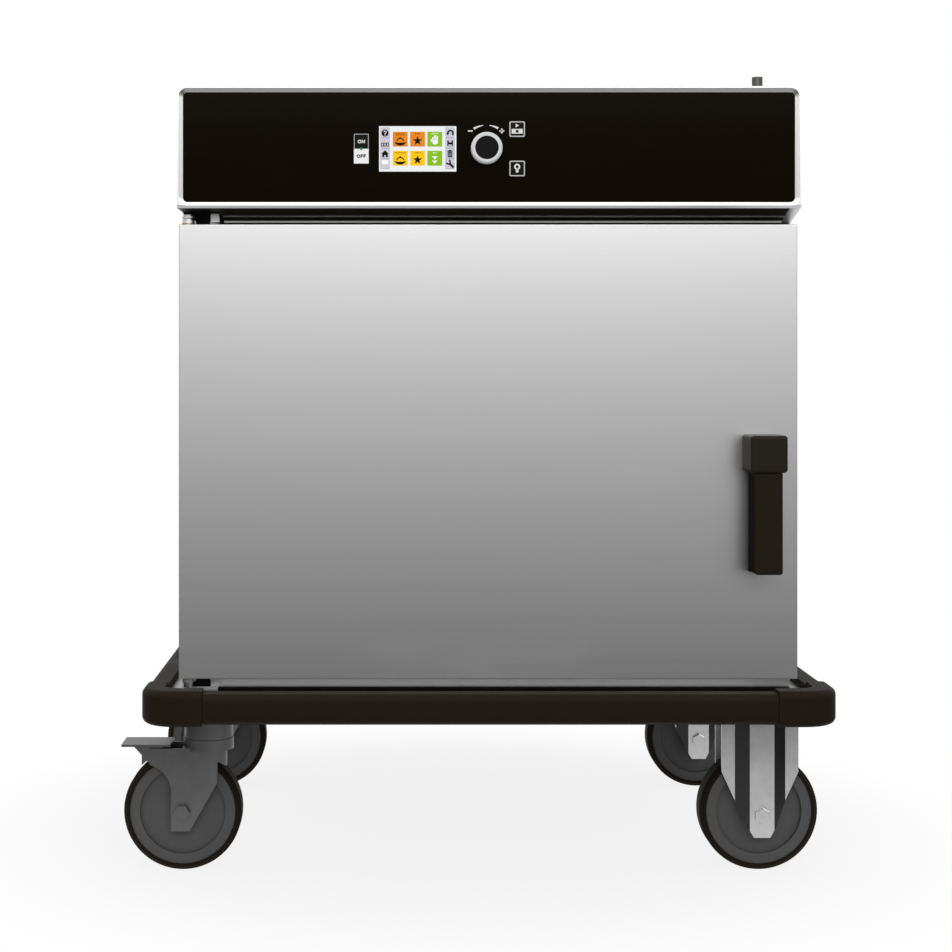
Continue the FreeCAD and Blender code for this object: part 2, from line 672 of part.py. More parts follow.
def cabinet_panels():
    """Outer casing sheets: two sides, top, bottom and a back with two groups of louvre slots."""
    inside = HALF_WIDTH - SHEET
    depth = (FRAME_FRONT, BACK)
    heights = (DECK_TOP, CABINET_TOP)
    top = block((-inside, inside), depth, (CABINET_TOP - SHEET, CABINET_TOP))
    hole = (VENT_X, VENT_Y, CABINET_TOP - SHEET), (VENT_X, VENT_Y, CABINET_TOP)
    top = top.cut(rod(VENT_COLLAR_RADIUS + SEAT_GAP, *hole))
    bottom = block((-inside, inside), (FRAME_BACK, BACK - SHEET), (DECK_TOP, DECK_TOP + SHEET))
    back = block((-inside, inside), (BACK - SHEET, BACK), (DECK_TOP, CABINET_TOP - SHEET))
    back = back.cut(inlet_bore())
    middle = (INSULATION_CEILING + CABINET_TOP) / 2
    for side in (-1, 1):
        for count in range(LOUVRE_COUNT):
            z = middle + (count - (LOUVRE_COUNT - 1) / 2) * LOUVRE_PITCH
            back = back.cut(window(LOUVRE_WIDTH, LOUVRE_HEIGHT, side * LOUVRE_X, z, (BACK - SHEET, BACK), 0))
    return {
        "left_side_panel": block((-HALF_WIDTH, -inside), depth, heights),
        "right_side_panel": block((inside, HALF_WIDTH), depth, heights),
        "top_panel": top,
        "bottom_panel": bottom,
        "back_panel": back,
    }


def front_frame():
    """Face frame round the oven mouth, up to the floor of the panel box."""
    inside = HALF_WIDTH - SHEET
    plate = block((-inside, inside), (FRAME_FRONT, FRAME_BACK), (DECK_TOP, PANEL_BOTTOM + BEZEL_BORDER))
    half = CHAMBER_WIDTH / 2
    mouth = block((-half, half), (FRAME_FRONT, FRAME_BACK), (CHAMBER_FLOOR, CHAMBER_CEILING))
    return plate.cut(mouth)


def shaft_line():
    """Line of the fan shaft from the chamber back to the motor."""
    return (0, CHAMBER_BACK, CHAMBER_MIDDLE), (0, INSULATION_END, CHAMBER_MIDDLE)


def vent_line():
    """Line of the vent from the chamber ceiling to the top of the insulation."""
    return (VENT_FOOT_X, VENT_Y, CHAMBER_CEILING), (VENT_FOOT_X, VENT_Y, INSULATION_CEILING)


def heater_leg_cutters():
    """Cutters for the two heater legs."""
    half = HEATER_BAR / 2 + SEAT_GAP
    sides = (-HEATER_LEG_SPACING / 2, HEATER_LEG_SPACING / 2)
    spans = [((x, CHAMBER_BACK, HEATER_LEG_Z), (x, INSULATION_END, HEATER_LEG_Z)) for x in sides]
    return [square_bar(half, start, end) for start, end in spans]


def inner_chamber():
    """Seamless inner box, open at the front."""
    half = CHAMBER_WIDTH / 2
    outer_z = (CHAMBER_FLOOR - SHEET, CHAMBER_CEILING + SHEET)
    outer = block((-half - SHEET, half + SHEET), (FRAME_BACK, CHAMBER_BACK + SHEET), outer_z)
    hollow = block((-half, half), (FRAME_BACK, CHAMBER_BACK), (CHAMBER_FLOOR, CHAMBER_CEILING))
    shaft_hole = rod(FAN_SHAFT_RADIUS + FAN_SHAFT_CLEARANCE, *shaft_line())
    holes = [shaft_hole, rod(VENT_RADIUS + SEAT_GAP, *vent_line())]
    return outer.cut(hollow).cut(holes + heater_leg_cutters())


def insulation():
    """Insulation between the chamber and the casing, with square cut-outs for what passes."""
    outside = HALF_WIDTH - SHEET - SEAT_GAP
    heights = (DECK_TOP + SHEET + SEAT_GAP, INSULATION_CEILING)
    wrap = block((-outside, outside), (FRAME_BACK + SEAT_GAP, INSULATION_END), heights)
    skin = SHEET + SEAT_GAP
    half = CHAMBER_WIDTH / 2 + skin
    hollow_z = (CHAMBER_FLOOR - skin, CHAMBER_CEILING + skin)
    hollow = block((-half, half), (FRAME_BACK, CHAMBER_BACK + skin), hollow_z)
    shaft = square_bar(FAN_SHAFT_RADIUS + FAN_SHAFT_CLEARANCE, *shaft_line())
    vent = square_bar(VENT_RADIUS + SEAT_GAP, *vent_line())
    return wrap.cut(hollow).cut([shaft, vent] + heater_leg_cutters())


def door_gasket():
    """Heat seal round the oven mouth that the closed door leans on."""
    depth = (DOOR_BACK + SEAT_GAP, FRAME_FRONT)
    near = CHAMBER_WIDTH / 2 + GASKET_OFFSET
    far = near + GASKET_WIDTH
    low = CHAMBER_FLOOR - GASKET_OFFSET
    high = CHAMBER_CEILING + GASKET_OFFSET
    outer = block((-far, far), depth, (low - GASKET_WIDTH, high + GASKET_WIDTH))
    ring = outer.cut(block((-near, near), depth, (low, high)))
    return round_edges(ring, GASKET_ROUND, lambda edge: edge.BoundBox.YMax < depth[0] + SEAT_GAP)


def tray_rack(side):
    """Side rack: two uprights and a stack of tray ledges with a turned-down lip."""
    wall = side * (CHAMBER_WIDTH / 2 - SEAT_GAP)
    face = wall - side * UPRIGHT_DEPTH
    tip = face - side * LEDGE_REACH
    middle = (LEDGE_START + LEDGE_END) / 2
    top = CHAMBER_FLOOR + RACK_FIRST_LEVEL + RACK_LEVELS * RACK_PITCH
    pieces = []
    for y in (middle - UPRIGHT_SPACING / 2, middle + UPRIGHT_SPACING / 2):
        span = (y - UPRIGHT_WIDTH / 2, y + UPRIGHT_WIDTH / 2)
        pieces.append(block(sorted((wall, face)), span, (CHAMBER_FLOOR, top)))
    for level in range(RACK_LEVELS):
        z = CHAMBER_FLOOR + RACK_FIRST_LEVEL + level * RACK_PITCH
        length = (LEDGE_START, LEDGE_END)
        pieces.append(block(sorted((wall, tip)), length, (z, z + RACK_SHEET)))
        pieces.append(block(sorted((tip + side * RACK_SHEET, tip)), length, (z - LEDGE_LIP, z)))
    return joined(*pieces)


def fan_baffle():
    """Rear air guide with a slotted intake in the middle and outlet slots down both sides."""
    half = CHAMBER_WIDTH / 2 - SEAT_GAP
    depth = (BAFFLE_FRONT, BAFFLE_FRONT + BAFFLE_SHEET)
    plate = block((-half, half), depth, (CHAMBER_FLOOR + SEAT_GAP, CHAMBER_CEILING - SEAT_GAP))
    slots = []
    for count in range(GRILLE_SLOTS):
        rise = (count - (GRILLE_SLOTS - 1) / 2) * 2 * GRILLE_RADIUS / GRILLE_SLOTS
        length = 2 * math.sqrt(GRILLE_RADIUS**2 - rise**2)
        slots.append(window(length, GRILLE_SLOT_HEIGHT, 0, CHAMBER_MIDDLE + rise, depth, 0))
    pitch = CHAMBER_HEIGHT / (OUTLET_SLOTS + 1)
    for side in (-1, 1):
        for count in range(OUTLET_SLOTS):
            z = CHAMBER_FLOOR + (count + 1) * pitch
            x = side * (CHAMBER_WIDTH / 2 - OUTLET_INSET)
            slots.append(window(OUTLET_SLOT_WIDTH, OUTLET_SLOT_HEIGHT, x, z, depth, 0))
    return plate.cut(slots)


def fan_wheel():
    """Bladed circulation fan on its shaft, which runs back into the motor."""
    back = CHAMBER_BACK - FAN_BACK_GAP
    web = back - FAN_SHEET
    front = web - FAN_WIDTH
    shaft_end = INSULATION_END + MOTOR_BORE_DEPTH - SEAT_GAP
    core = [
        (0, front),
        (FAN_HUB_RADIUS, front),
        (FAN_HUB_RADIUS, web),
        (FAN_RADIUS, web),
        (FAN_RADIUS, back),
        (FAN_SHAFT_RADIUS, back),
        (FAN_SHAFT_RADIUS, shaft_end),
        (0, shaft_end),
    ]
    inner = FAN_RADIUS - FAN_BLADE_DEPTH
    centre = V(0, 0, CHAMBER_MIDDLE)
    blades = []
    for count in range(FAN_BLADES):
        blade = block((inner, FAN_RADIUS), (front, web), (-FAN_SHEET / 2, FAN_SHEET / 2))
        blade.rotate(V(0, 0, 0), V(0, 1, 0), 360 * count / FAN_BLADES)
        blades.append(blade.translated(centre))
    return joined(turned(core, 0, 0, CHAMBER_MIDDLE), *blades)


def fan_motor():
    """Fan motor on a flange behind the insulation, bored for the fan shaft."""
    half = MOTOR_FLANGE / 2
    face = INSULATION_END + MOTOR_FLANGE_SHEET
    flange_z = (CHAMBER_MIDDLE - half, CHAMBER_MIDDLE + half)
    flange = block((-half, half), (INSULATION_END, face), flange_z)
    can = rod(MOTOR_RADIUS, (0, face, CHAMBER_MIDDLE), (0, face + MOTOR_LENGTH, CHAMBER_MIDDLE))
    bore_end = (0, INSULATION_END + MOTOR_BORE_DEPTH, CHAMBER_MIDDLE)
    bore = rod(FAN_SHAFT_RADIUS + RUNNING_FIT, (0, INSULATION_END, CHAMBER_MIDDLE), bore_end)
    return joined(flange, can).cut(bore)


def heating_element():
    """Square loop of heater bar round the fan, with two legs that leave through the back of the chamber."""
    y = CHAMBER_BACK - PLENUM_DEPTH / 2
    half = HEATER_BAR / 2
    outer = window(HEATER_LOOP, HEATER_LOOP, 0, CHAMBER_MIDDLE, (y - half, y + half), half)
    loop = outer.cut(window(HEATER_LOOP, HEATER_LOOP, 0, CHAMBER_MIDDLE, (y - half, y + half), -half))
    tail = INSULATION_END + HEATER_LEG_TAIL
    sides = (-HEATER_LEG_SPACING / 2, HEATER_LEG_SPACING / 2)
    legs = [square_bar(half, (x, y, HEATER_LEG_Z), (x, tail, HEATER_LEG_Z)) for x in sides]
    return joined(loop, *legs)


def pipe(points, radius):
    """Straight tube legs with mitred corners, as one solid."""
    legs = []
    stretched = []
    for start, end in zip(points, points[1:]):
        over = (V(*end) - V(*start)).normalize() * radius
        legs.append(rod(radius, start, end))
        stretched.append(rod(radius, V(*start) - over, V(*end) + over))
    corners = [first.common(second) for first, second in zip(stretched, stretched[1:])]
    return joined(*legs, *corners)


def vent_pipe():
    """Steam vent from the chamber, stepped sideways, with a flanged collar that seats in the top sheet."""
    middle = INSULATION_CEILING + VENT_CROSS_LIFT
    points = [(VENT_X, VENT_Y, VENT_TOP), (VENT_X, VENT_Y, middle)]
    points += [(VENT_FOOT_X, VENT_Y, middle), (VENT_FOOT_X, VENT_Y, CHAMBER_CEILING)]
    seat = CABINET_TOP - SHEET
    collar = rod(VENT_COLLAR_RADIUS, (VENT_X, VENT_Y, seat), (VENT_X, VENT_Y, CABINET_TOP + VENT_COLLAR_RISE))
    flange = rod(VENT_FLANGE_RADIUS, (VENT_X, VENT_Y, seat - VENT_FLANGE), (VENT_X, VENT_Y, seat))
    outside = joined(pipe(points, VENT_RADIUS), collar, flange)
    return outside.cut(pipe(points, VENT_RADIUS - VENT_WALL))


def inlet_bore():
    """Cutter for the lead through the back sheet and its gland."""
    z = CABINET_TOP - INLET_DROP
    return rod(INLET_BORE_RADIUS, (INLET_X, BACK - SHEET, z), (INLET_X, BACK + INLET_REACH, z))


def power_inlet():
    """Flanged cable gland on the back sheet."""
    z = CABINET_TOP - INLET_DROP
    face = BACK + INLET_FLANGE_SHEET
    flange = window(INLET_FLANGE, INLET_FLANGE, INLET_X, z, (BACK, face), 0)
    gland = rod(INLET_RADIUS, (INLET_X, face, z), (INLET_X, BACK + INLET_REACH, z))
    return joined(flange, gland).cut(inlet_bore())


def hinge(up, edge):
    """Hinge bracket: a foot on the face frame, a leaf beyond the door's edge and a pin into its bush."""
    near = edge + up * (BUSH_FLANGE + SEAT_GAP)
    far = near + up * HINGE_LEAF
    leaf_z = sorted((near, far))
    x = (HINGE_X - HINGE_NOSE_RADIUS, HINGE_X - HINGE_NOSE_RADIUS + HINGE_LEAF_WIDTH)
    leaf = block(x, (HINGE_Y, FRAME_FRONT), leaf_z)
    nose = rod(HINGE_NOSE_RADIUS, (HINGE_X, HINGE_Y, leaf_z[0]), (HINGE_X, HINGE_Y, leaf_z[1]))
    taper = [(x[1], HINGE_Y - HINGE_NOSE_RADIUS), (x[1], FRAME_FRONT - HINGE_LEAF), (HINGE_X, HINGE_Y)]
    leaf = leaf.cut(plan_prism(taper, leaf_z))
    foot = block(x, (FRAME_FRONT - HINGE_LEAF, FRAME_FRONT), sorted((near, far + up * HINGE_FOOT_HEIGHT)))
    pin = rod(HINGE_PIN_RADIUS, (HINGE_X, HINGE_Y, edge - up * HINGE_PIN_REACH), (HINGE_X, HINGE_Y, far))
    head = rod(HINGE_HEAD_RADIUS, (HINGE_X, HINGE_Y, far), (HINGE_X, HINGE_Y, far + up * HINGE_HEAD_HEIGHT))
    return joined(leaf, nose, foot, pin, head)


def magnet_catch():
    """Magnet block on the face frame beside the seal."""
    x = HALF_WIDTH - CATCH_EDGE_OFFSET
    front = DOOR_BACK + STRIKE_SHEET + SEAT_GAP
    return window(CATCH_WIDTH, CATCH_HEIGHT, x, HANDLE_TOP_Z, (front, FRAME_FRONT), 0)


# Door

def hinge_rods(radius, depth):
    """Upright cutters on the hinge line at the top and bottom edges of the door."""
    top = rod(radius, (HINGE_X, HINGE_Y, DOOR_TOP - depth), (HINGE_X, HINGE_Y, DOOR_TOP))
    bottom = rod(radius, (HINGE_X, HINGE_Y, DOOR_BOTTOM), (HINGE_X, HINGE_Y, DOOR_BOTTOM + depth))
    return [top, bottom]


def door_outer_skin():
    """Folded outer pan of the door, open towards the oven."""
    pan = block((-HALF_WIDTH, HALF_WIDTH), (DOOR_FRONT, DOOR_BACK), (DOOR_BOTTOM, DOOR_TOP))
    pan = round_edges(pan, DOOR_EDGE_ROUND, lambda edge: edge.BoundBox.YMax < DOOR_FRONT + SEAT_GAP)
    inside = HALF_WIDTH - SHEET
    heights = (DOOR_BOTTOM + SHEET, DOOR_TOP - SHEET)
    pan = pan.cut(block((-inside, inside), (DOOR_FRONT + SHEET, DOOR_BACK), heights))
    return pan.cut(hinge_rods(BUSH_RADIUS + RUNNING_FIT, BUSH_LENGTH))


def door_inner_pan():
    """Inner sheet of the door with a lip turned in all round."""
    outside = HALF_WIDTH - SHEET
    inside = outside - SHEET
    outer_z = (DOOR_BOTTOM + SHEET, DOOR_TOP - SHEET)
    inner_z = (DOOR_BOTTOM + 2 * SHEET, DOOR_TOP - 2 * SHEET)
    pan = block((-outside, outside), (DOOR_BACK - DOOR_PAN_LIP, DOOR_BACK), outer_z)
    return pan.cut(block((-inside, inside), (DOOR_BACK - DOOR_PAN_LIP, DOOR_BACK - SHEET), inner_z))


def door_insulation():
    """Insulation slab between the two door pans, cut round the hinge bushes."""
    side = HALF_WIDTH - 2 * SHEET - SEAT_GAP
    depth = (DOOR_FRONT + SHEET + SEAT_GAP, DOOR_BACK - SHEET - SEAT_GAP)
    edge = 2 * SHEET + SEAT_GAP
    slab = block((-side, side), depth, (DOOR_BOTTOM + edge, DOOR_TOP - edge))
    return slab.cut(hinge_rods(BUSH_RADIUS + SEAT_GAP, BUSH_LENGTH + SEAT_GAP))


def hinge_bushes():
    """Two flanged bushes in the door's edges."""
    bore = HINGE_PIN_RADIUS + RUNNING_FIT
    bushes = []
    for up, edge in ((1, DOOR_TOP), (-1, DOOR_BOTTOM)):
        end = (HINGE_X, HINGE_Y, edge + up * BUSH_FLANGE)
        inner = (HINGE_X, HINGE_Y, edge - up * BUSH_LENGTH)
        sleeve = rod(BUSH_RADIUS, inner, (HINGE_X, HINGE_Y, edge))
        flange = rod(BUSH_FLANGE_RADIUS, (HINGE_X, HINGE_Y, edge), end)
        bushes.append(joined(sleeve, flange).cut(rod(bore, inner, end)))
    return Part.makeCompound(bushes)


def handle_head():
    """Square handle head on the door with the upright spindle that carries the lever."""
    half = HEAD_SIZE / 2
    head = block((HANDLE_X - half, HANDLE_X + half), (HEAD_FRONT, DOOR_FRONT), (HEAD_BOTTOM, HANDLE_TOP_Z))
    head = round_edges(head, HEAD_ROUND, lambda edge: edge.BoundBox.YMin < DOOR_FRONT - SEAT_GAP)
    low = (LEVER_PIVOT_X, LEVER_PIVOT_Y, HEAD_BOTTOM - LEVER_PIN_LENGTH)
    high = (LEVER_PIVOT_X, LEVER_PIVOT_Y, HANDLE_TOP_Z - HEAD_SIZE / 2)
    return joined(head, rod(LEVER_PIN_RADIUS, low, high))


def handle_lever():
    """Hooked pull lever: a barrel on the spindle, a side web and a front plate that leaves finger room."""
    heights = (LEVER_BOTTOM, LEVER_TOP)
    right = LEVER_LEFT + LEVER_WIDTH
    plate = block((LEVER_LEFT, right), (LEVER_FRONT, LEVER_FRONT + LEVER_WALL), heights)
    web = block((LEVER_LEFT, LEVER_LEFT + LEVER_WALL), (LEVER_FRONT, LEVER_PIVOT_Y), heights)
    low = (LEVER_PIVOT_X, LEVER_PIVOT_Y, LEVER_BOTTOM)
    high = (LEVER_PIVOT_X, LEVER_PIVOT_Y, LEVER_TOP)

    def is_low_corner(edge):
        box = edge.BoundBox
        beside = box.XMax < LEVER_LEFT + SEAT_GAP or box.XMin > right - SEAT_GAP
        return beside and box.ZMax < LEVER_BOTTOM + SEAT_GAP

    lever = round_edges(joined(plate, web), LEVER_CORNER, is_low_corner)
    lever = round_edges(lever, LEVER_ROUND, lambda edge: edge.BoundBox.YMax < LEVER_FRONT + SEAT_GAP)
    lever = joined(lever, rod(LEVER_BARREL_RADIUS, low, high))
    return lever.cut(rod(LEVER_PIN_RADIUS + RUNNING_FIT, low, high))


def strike_plate():
    """Steel plate on the door's inner sheet that the magnet holds."""
    x = HALF_WIDTH - CATCH_EDGE_OFFSET
    return window(STRIKE_WIDTH, STRIKE_HEIGHT, x, HANDLE_TOP_Z, (DOOR_BACK, DOOR_BACK + STRIKE_SHEET), 0)


# Control panel

def side_prism(points, half_x):
    """Outline of (y, z) points carried across the width."""
    wire = Part.makePolygon([V(-half_x, py, pz) for py, pz in points + points[:1]])
    return Part.Face(wire).extrude(V(2 * half_x, 0, 0))


def bezel_outline(wall):
    """Side outline of the panel box, drawn in by a wall: bevelled toe and an underside that falls back."""
    front = PANEL_FRONT if wall == 0 else GLASS_FRONT + wall
    return [
        (front, PANEL_BOTTOM + BEZEL_TOE + wall),
        (front, CABINET_TOP - wall),
        (FRAME_FRONT, CABINET_TOP - wall),
        (FRAME_FRONT, DOOR_TOP + BEZEL_DOOR_GAP + wall),
        (PANEL_FRONT + BEZEL_TOE + wall, PANEL_BOTTOM + wall),
    ]


def panel_box(wall):
    """Solid of the panel box drawn in by a wall, with a low corner left out over the hinge."""
    end = HINGE_X - HINGE_NOSE_RADIUS + HINGE_LEAF_WIDTH + HINGE_CLEARANCE + wall
    corner = block((-HALF_WIDTH, end), (PANEL_FRONT, FRAME_FRONT), (DOOR_TOP, PANEL_BOTTOM + wall))
    return side_prism(bezel_outline(wall), HALF_WIDTH - wall).cut(corner)


def window_taper():
    """Funnel of the panel window: wide at the front of the box and as small as the glass at its face."""
    wide = glass_blank((PANEL_FRONT, GLASS_BACK), -BEZEL_BEVEL).slice(V(0, 1, 0), PANEL_FRONT + SEAT_GAP)
    narrow = glass_blank((PANEL_FRONT, GLASS_BACK), 0).slice(V(0, 1, 0), GLASS_FRONT)
    return Part.makeLoft([wide[0].translated(V(0, -SEAT_GAP, 0)), narrow[0]], True, True)


def glass_blank(y, gap):
    """Rounded plate of the size of the panel window, drawn in by a gap."""
    half = HALF_WIDTH - BEZEL_BORDER - gap
    heights = (PANEL_BOTTOM + BEZEL_BORDER + gap, CABINET_TOP - BEZEL_BORDER - gap)
    plate = block((-half, half), y, heights)
    return round_edges(plate, GLASS_CORNER - gap, lambda edge: runs_along(edge, V(0, 1, 0)))


def panel_bezel():
    """Folded steel panel box with a window for the glass and a ledge behind it."""
    box = panel_box(0).cut(panel_box(BEZEL_WALL))
    box = box.cut(glass_blank((PANEL_FRONT, GLASS_BACK), 0)).cut(window_taper())
    depth = (GLASS_BACK, GLASS_BACK + BEZEL_WALL)
    inside = HALF_WIDTH - BEZEL_WALL
    ledge_z = (PANEL_BOTTOM + BEZEL_BORDER, CABINET_TOP - BEZEL_WALL)
    ledge = block((-inside, inside), depth, ledge_z)
    return joined(box, ledge.cut(glass_blank(depth, BEZEL_LEDGE)))


def panel_glass():
    """Black glass with openings for the display, the rocker, the keys and the knob shaft."""
    depth = (GLASS_FRONT, GLASS_BACK)
    glass = glass_blank(depth, SEAT_GAP)
    rocker_height = ROCKER_HEIGHT + 2 * (ROCKER_END_GAP - SEAT_GAP)
    cutters = [
        window(DISPLAY_WIDTH, DISPLAY_HEIGHT, DISPLAY_X, CONTROLS_Z, depth, SEAT_GAP),
        window(ROCKER_WIDTH, rocker_height, ROCKER_X, CONTROLS_Z, depth, SEAT_GAP),
        rod(KNOB_SHAFT_RADIUS + SEAT_GAP, (KNOB_X, depth[0], CONTROLS_Z), (KNOB_X, depth[1], CONTROLS_Z)),
    ]
    for side in (-1, 1):
        z = CONTROLS_Z + side * KEY_SPACING / 2
        cutters.append(window(KEY_SIZE, KEY_SIZE, KEY_X, z, depth, SEAT_GAP))
    return glass.cut(cutters)


def display_screen():
    """Touch screen set flush in the glass."""
    depth = (GLASS_FRONT, GLASS_FRONT + DISPLAY_DEPTH)
    return window(DISPLAY_WIDTH, DISPLAY_HEIGHT, DISPLAY_X, CONTROLS_Z, depth, 0)


def control_knob():
    """Turned knob with a raised ring, a dished face and a shaft into the encoder."""
    front = GLASS_FRONT - KNOB_HEIGHT
    back = GLASS_FRONT - SEAT_GAP
    end = BOARD_FRONT - SEAT_GAP
    points = [
        (0, front + KNOB_DISH),
        (KNOB_FACE_RADIUS, front + KNOB_DISH),
        (KNOB_FACE_RADIUS, front),
        (KNOB_RADIUS - KNOB_ROUND, front),
        (KNOB_RADIUS, front + KNOB_ROUND),
        (KNOB_RADIUS, back),
        (KNOB_SHAFT_RADIUS, back),
        (KNOB_SHAFT_RADIUS, end),
        (0, end),
    ]
    return turned(points, KNOB_X, 0, CONTROLS_Z)


def on_off_rocker():
    """Rocker with a shallow V face on a cross pivot."""
    half = ROCKER_HEIGHT / 2
    pivot_y = GLASS_FRONT + ROCKER_PIVOT_DEPTH
    front = GLASS_FRONT - ROCKER_PROUD
    outline = [
        (front, half),
        (front + ROCKER_HOLLOW, 0),
        (front, -half),
        (GLASS_BACK, -half),
        (pivot_y, -2 * ROCKER_PIVOT_RADIUS),
        (pivot_y, 2 * ROCKER_PIVOT_RADIUS),
        (GLASS_BACK, half),
    ]
    body = side_prism([(y, CONTROLS_Z + z) for y, z in outline], ROCKER_WIDTH / 2)
    body = body.translated(V(ROCKER_X, 0, 0))
    reach = ROCKER_WIDTH / 2 + SEAT_GAP + ROCKER_EAR
    ends = [(ROCKER_X + side, pivot_y, CONTROLS_Z) for side in (-reach, reach)]
    pin = rod(ROCKER_PIVOT_RADIUS, *ends)
    return joined(body, pin)


def panel_key(side):
    """Square push key with a stem that stops just short of the board's switch."""
    z = CONTROLS_Z + side * KEY_SPACING / 2
    back = GLASS_FRONT + KEY_DEPTH
    cap = window(KEY_SIZE, KEY_SIZE, KEY_X, z, (GLASS_FRONT - KEY_PROUD, back), 0)
    stem_end = BOARD_FRONT - KEY_TRAVEL - SEAT_GAP
    return joined(cap, rod(KEY_STEM_RADIUS, (KEY_X, back, z), (KEY_X, stem_end, z)))


def control_board():
    """Circuit board on four pillars, with the encoder body and the ears that carry the rocker."""
    middle = (ROCKER_X + KEY_X) / 2
    board = window(BOARD_WIDTH, BOARD_HEIGHT, middle, CONTROLS_Z, (BOARD_FRONT, BOARD_FRONT + BOARD_SHEET), 0)
    pieces = []
    inset = BOARD_PILLAR
    for side_x in (-1, 1):
        for side_z in (-1, 1):
            x = middle + side_x * (BOARD_WIDTH / 2 - inset)
            z = CONTROLS_Z + side_z * (BOARD_HEIGHT / 2 - inset)
            pieces.append(square_bar(BOARD_PILLAR / 2, (x, GLASS_BACK, z), (x, BOARD_FRONT, z)))
        near = ROCKER_X + side_x * (ROCKER_WIDTH / 2 + SEAT_GAP)
        far = near + side_x * ROCKER_EAR
        ear_front = GLASS_FRONT + ROCKER_PIVOT_DEPTH - 2 * ROCKER_PIVOT_RADIUS
        ear_z = (CONTROLS_Z - 2 * ROCKER_PIVOT_RADIUS, CONTROLS_Z + 2 * ROCKER_PIVOT_RADIUS)
        pieces.append(block(sorted((near, far)), (max(ear_front, GLASS_BACK + SEAT_GAP), BOARD_FRONT), ear_z))
    encoder_front = BOARD_FRONT - ENCODER_SIZE / 2
    pieces.append(window(ENCODER_SIZE, ENCODER_SIZE, KNOB_X, CONTROLS_Z, (encoder_front, BOARD_FRONT), 0))
    body = joined(board, *pieces)
    pivot_y = GLASS_FRONT + ROCKER_PIVOT_DEPTH
    reach = ROCKER_WIDTH + ROCKER_EAR
    pin = (ROCKER_X - reach, pivot_y, CONTROLS_Z), (ROCKER_X + reach, pivot_y, CONTROLS_Z)
    body = body.cut(rod(ROCKER_PIVOT_RADIUS + RUNNING_FIT, *pin))
    shaft = (KNOB_X, encoder_front, CONTROLS_Z), (KNOB_X, BOARD_FRONT, CONTROLS_Z)
    return body.cut(rod(KNOB_SHAFT_RADIUS + RUNNING_FIT, *shaft))


def trolley():
    """Every piece of the trolley by name, about the middle of the cabinet."""
    pieces = {"base_frame": base_frame(), "base_deck": base_deck()}
    pieces.update(bumpers())
    pieces.update(casters())
    pieces.update(cabinet_panels())
    pieces["front_frame"] = front_frame()
    pieces["inner_chamber"] = inner_chamber()
    pieces["insulation"] = insulation()
    pieces["door_gasket"] = door_gasket()
    pieces["left_tray_rack"] = tray_rack(-1)
    pieces["right_tray_rack"] = tray_rack(1)
    pieces["fan_baffle"] = fan_baffle()
    pieces["fan_wheel"] = fan_wheel()
    pieces["fan_motor"] = fan_motor()
    pieces["heating_element"] = heating_element()
    pieces["vent_pipe"] = vent_pipe()
    pieces["power_inlet"] = power_inlet()
    pieces["door_hinges"] = Part.makeCompound([hinge(1, DOOR_TOP), hinge(-1, DOOR_BOTTOM)])
    pieces["magnet_catch"] = magnet_catch()
    pieces["door_outer_skin"] = door_outer_skin()
    pieces["door_inner_pan"] = door_inner_pan()
    pieces["door_insulation"] = door_insulation()
    pieces["hinge_bushes"] = hinge_bushes()
    pieces["handle_head"] = handle_head()
    pieces["handle_lever"] = handle_lever()
    pieces["strike_plate"] = strike_plate()
    pieces["panel_bezel"] = panel_bezel()
    pieces["panel_glass"] = panel_glass()
    pieces["display_screen"] = display_screen()
    pieces["control_knob"] = control_knob()
    pieces["on_off_rocker"] = on_off_rocker()
    pieces["start_stop_key"] = panel_key(1)
    pieces["light_key"] = panel_key(-1)
    pieces["control_board"] = control_board()
    return pieces


def origin_shift():
    """Move that puts the origin under the middle of the overall outline."""
    bumper_x = HALF_WIDTH + BUMPER_REACH_X + CORNER_PROUD
    bumper_y = FULL_DEPTH / 2 + BUMPER_REACH_Y + CORNER_PROUD
    left = -max(bumper_x, CASTER_X + CASTER_TRAIL + max(PEDAL_TIP, WHEEL_RADIUS))
    front = -max(bumper_y, -HEAD_FRONT, KNOB_HEIGHT - GLASS_FRONT)
    return V(-(left + bumper_x) / 2, -(front + bumper_y) / 2, 0)


SHIFT = origin_shift()
PIECES = {name: shape.translated(SHIFT) for name, shape in trolley().items()}

os.makedirs("parts", exist_ok=True)
for node, shape in PIECES.items():
    shape.exportStep("parts/" + node + ".step")
print(len(PIECES), "nodes written, shifted by", SHIFT.x, SHIFT.y)
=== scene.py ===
import math

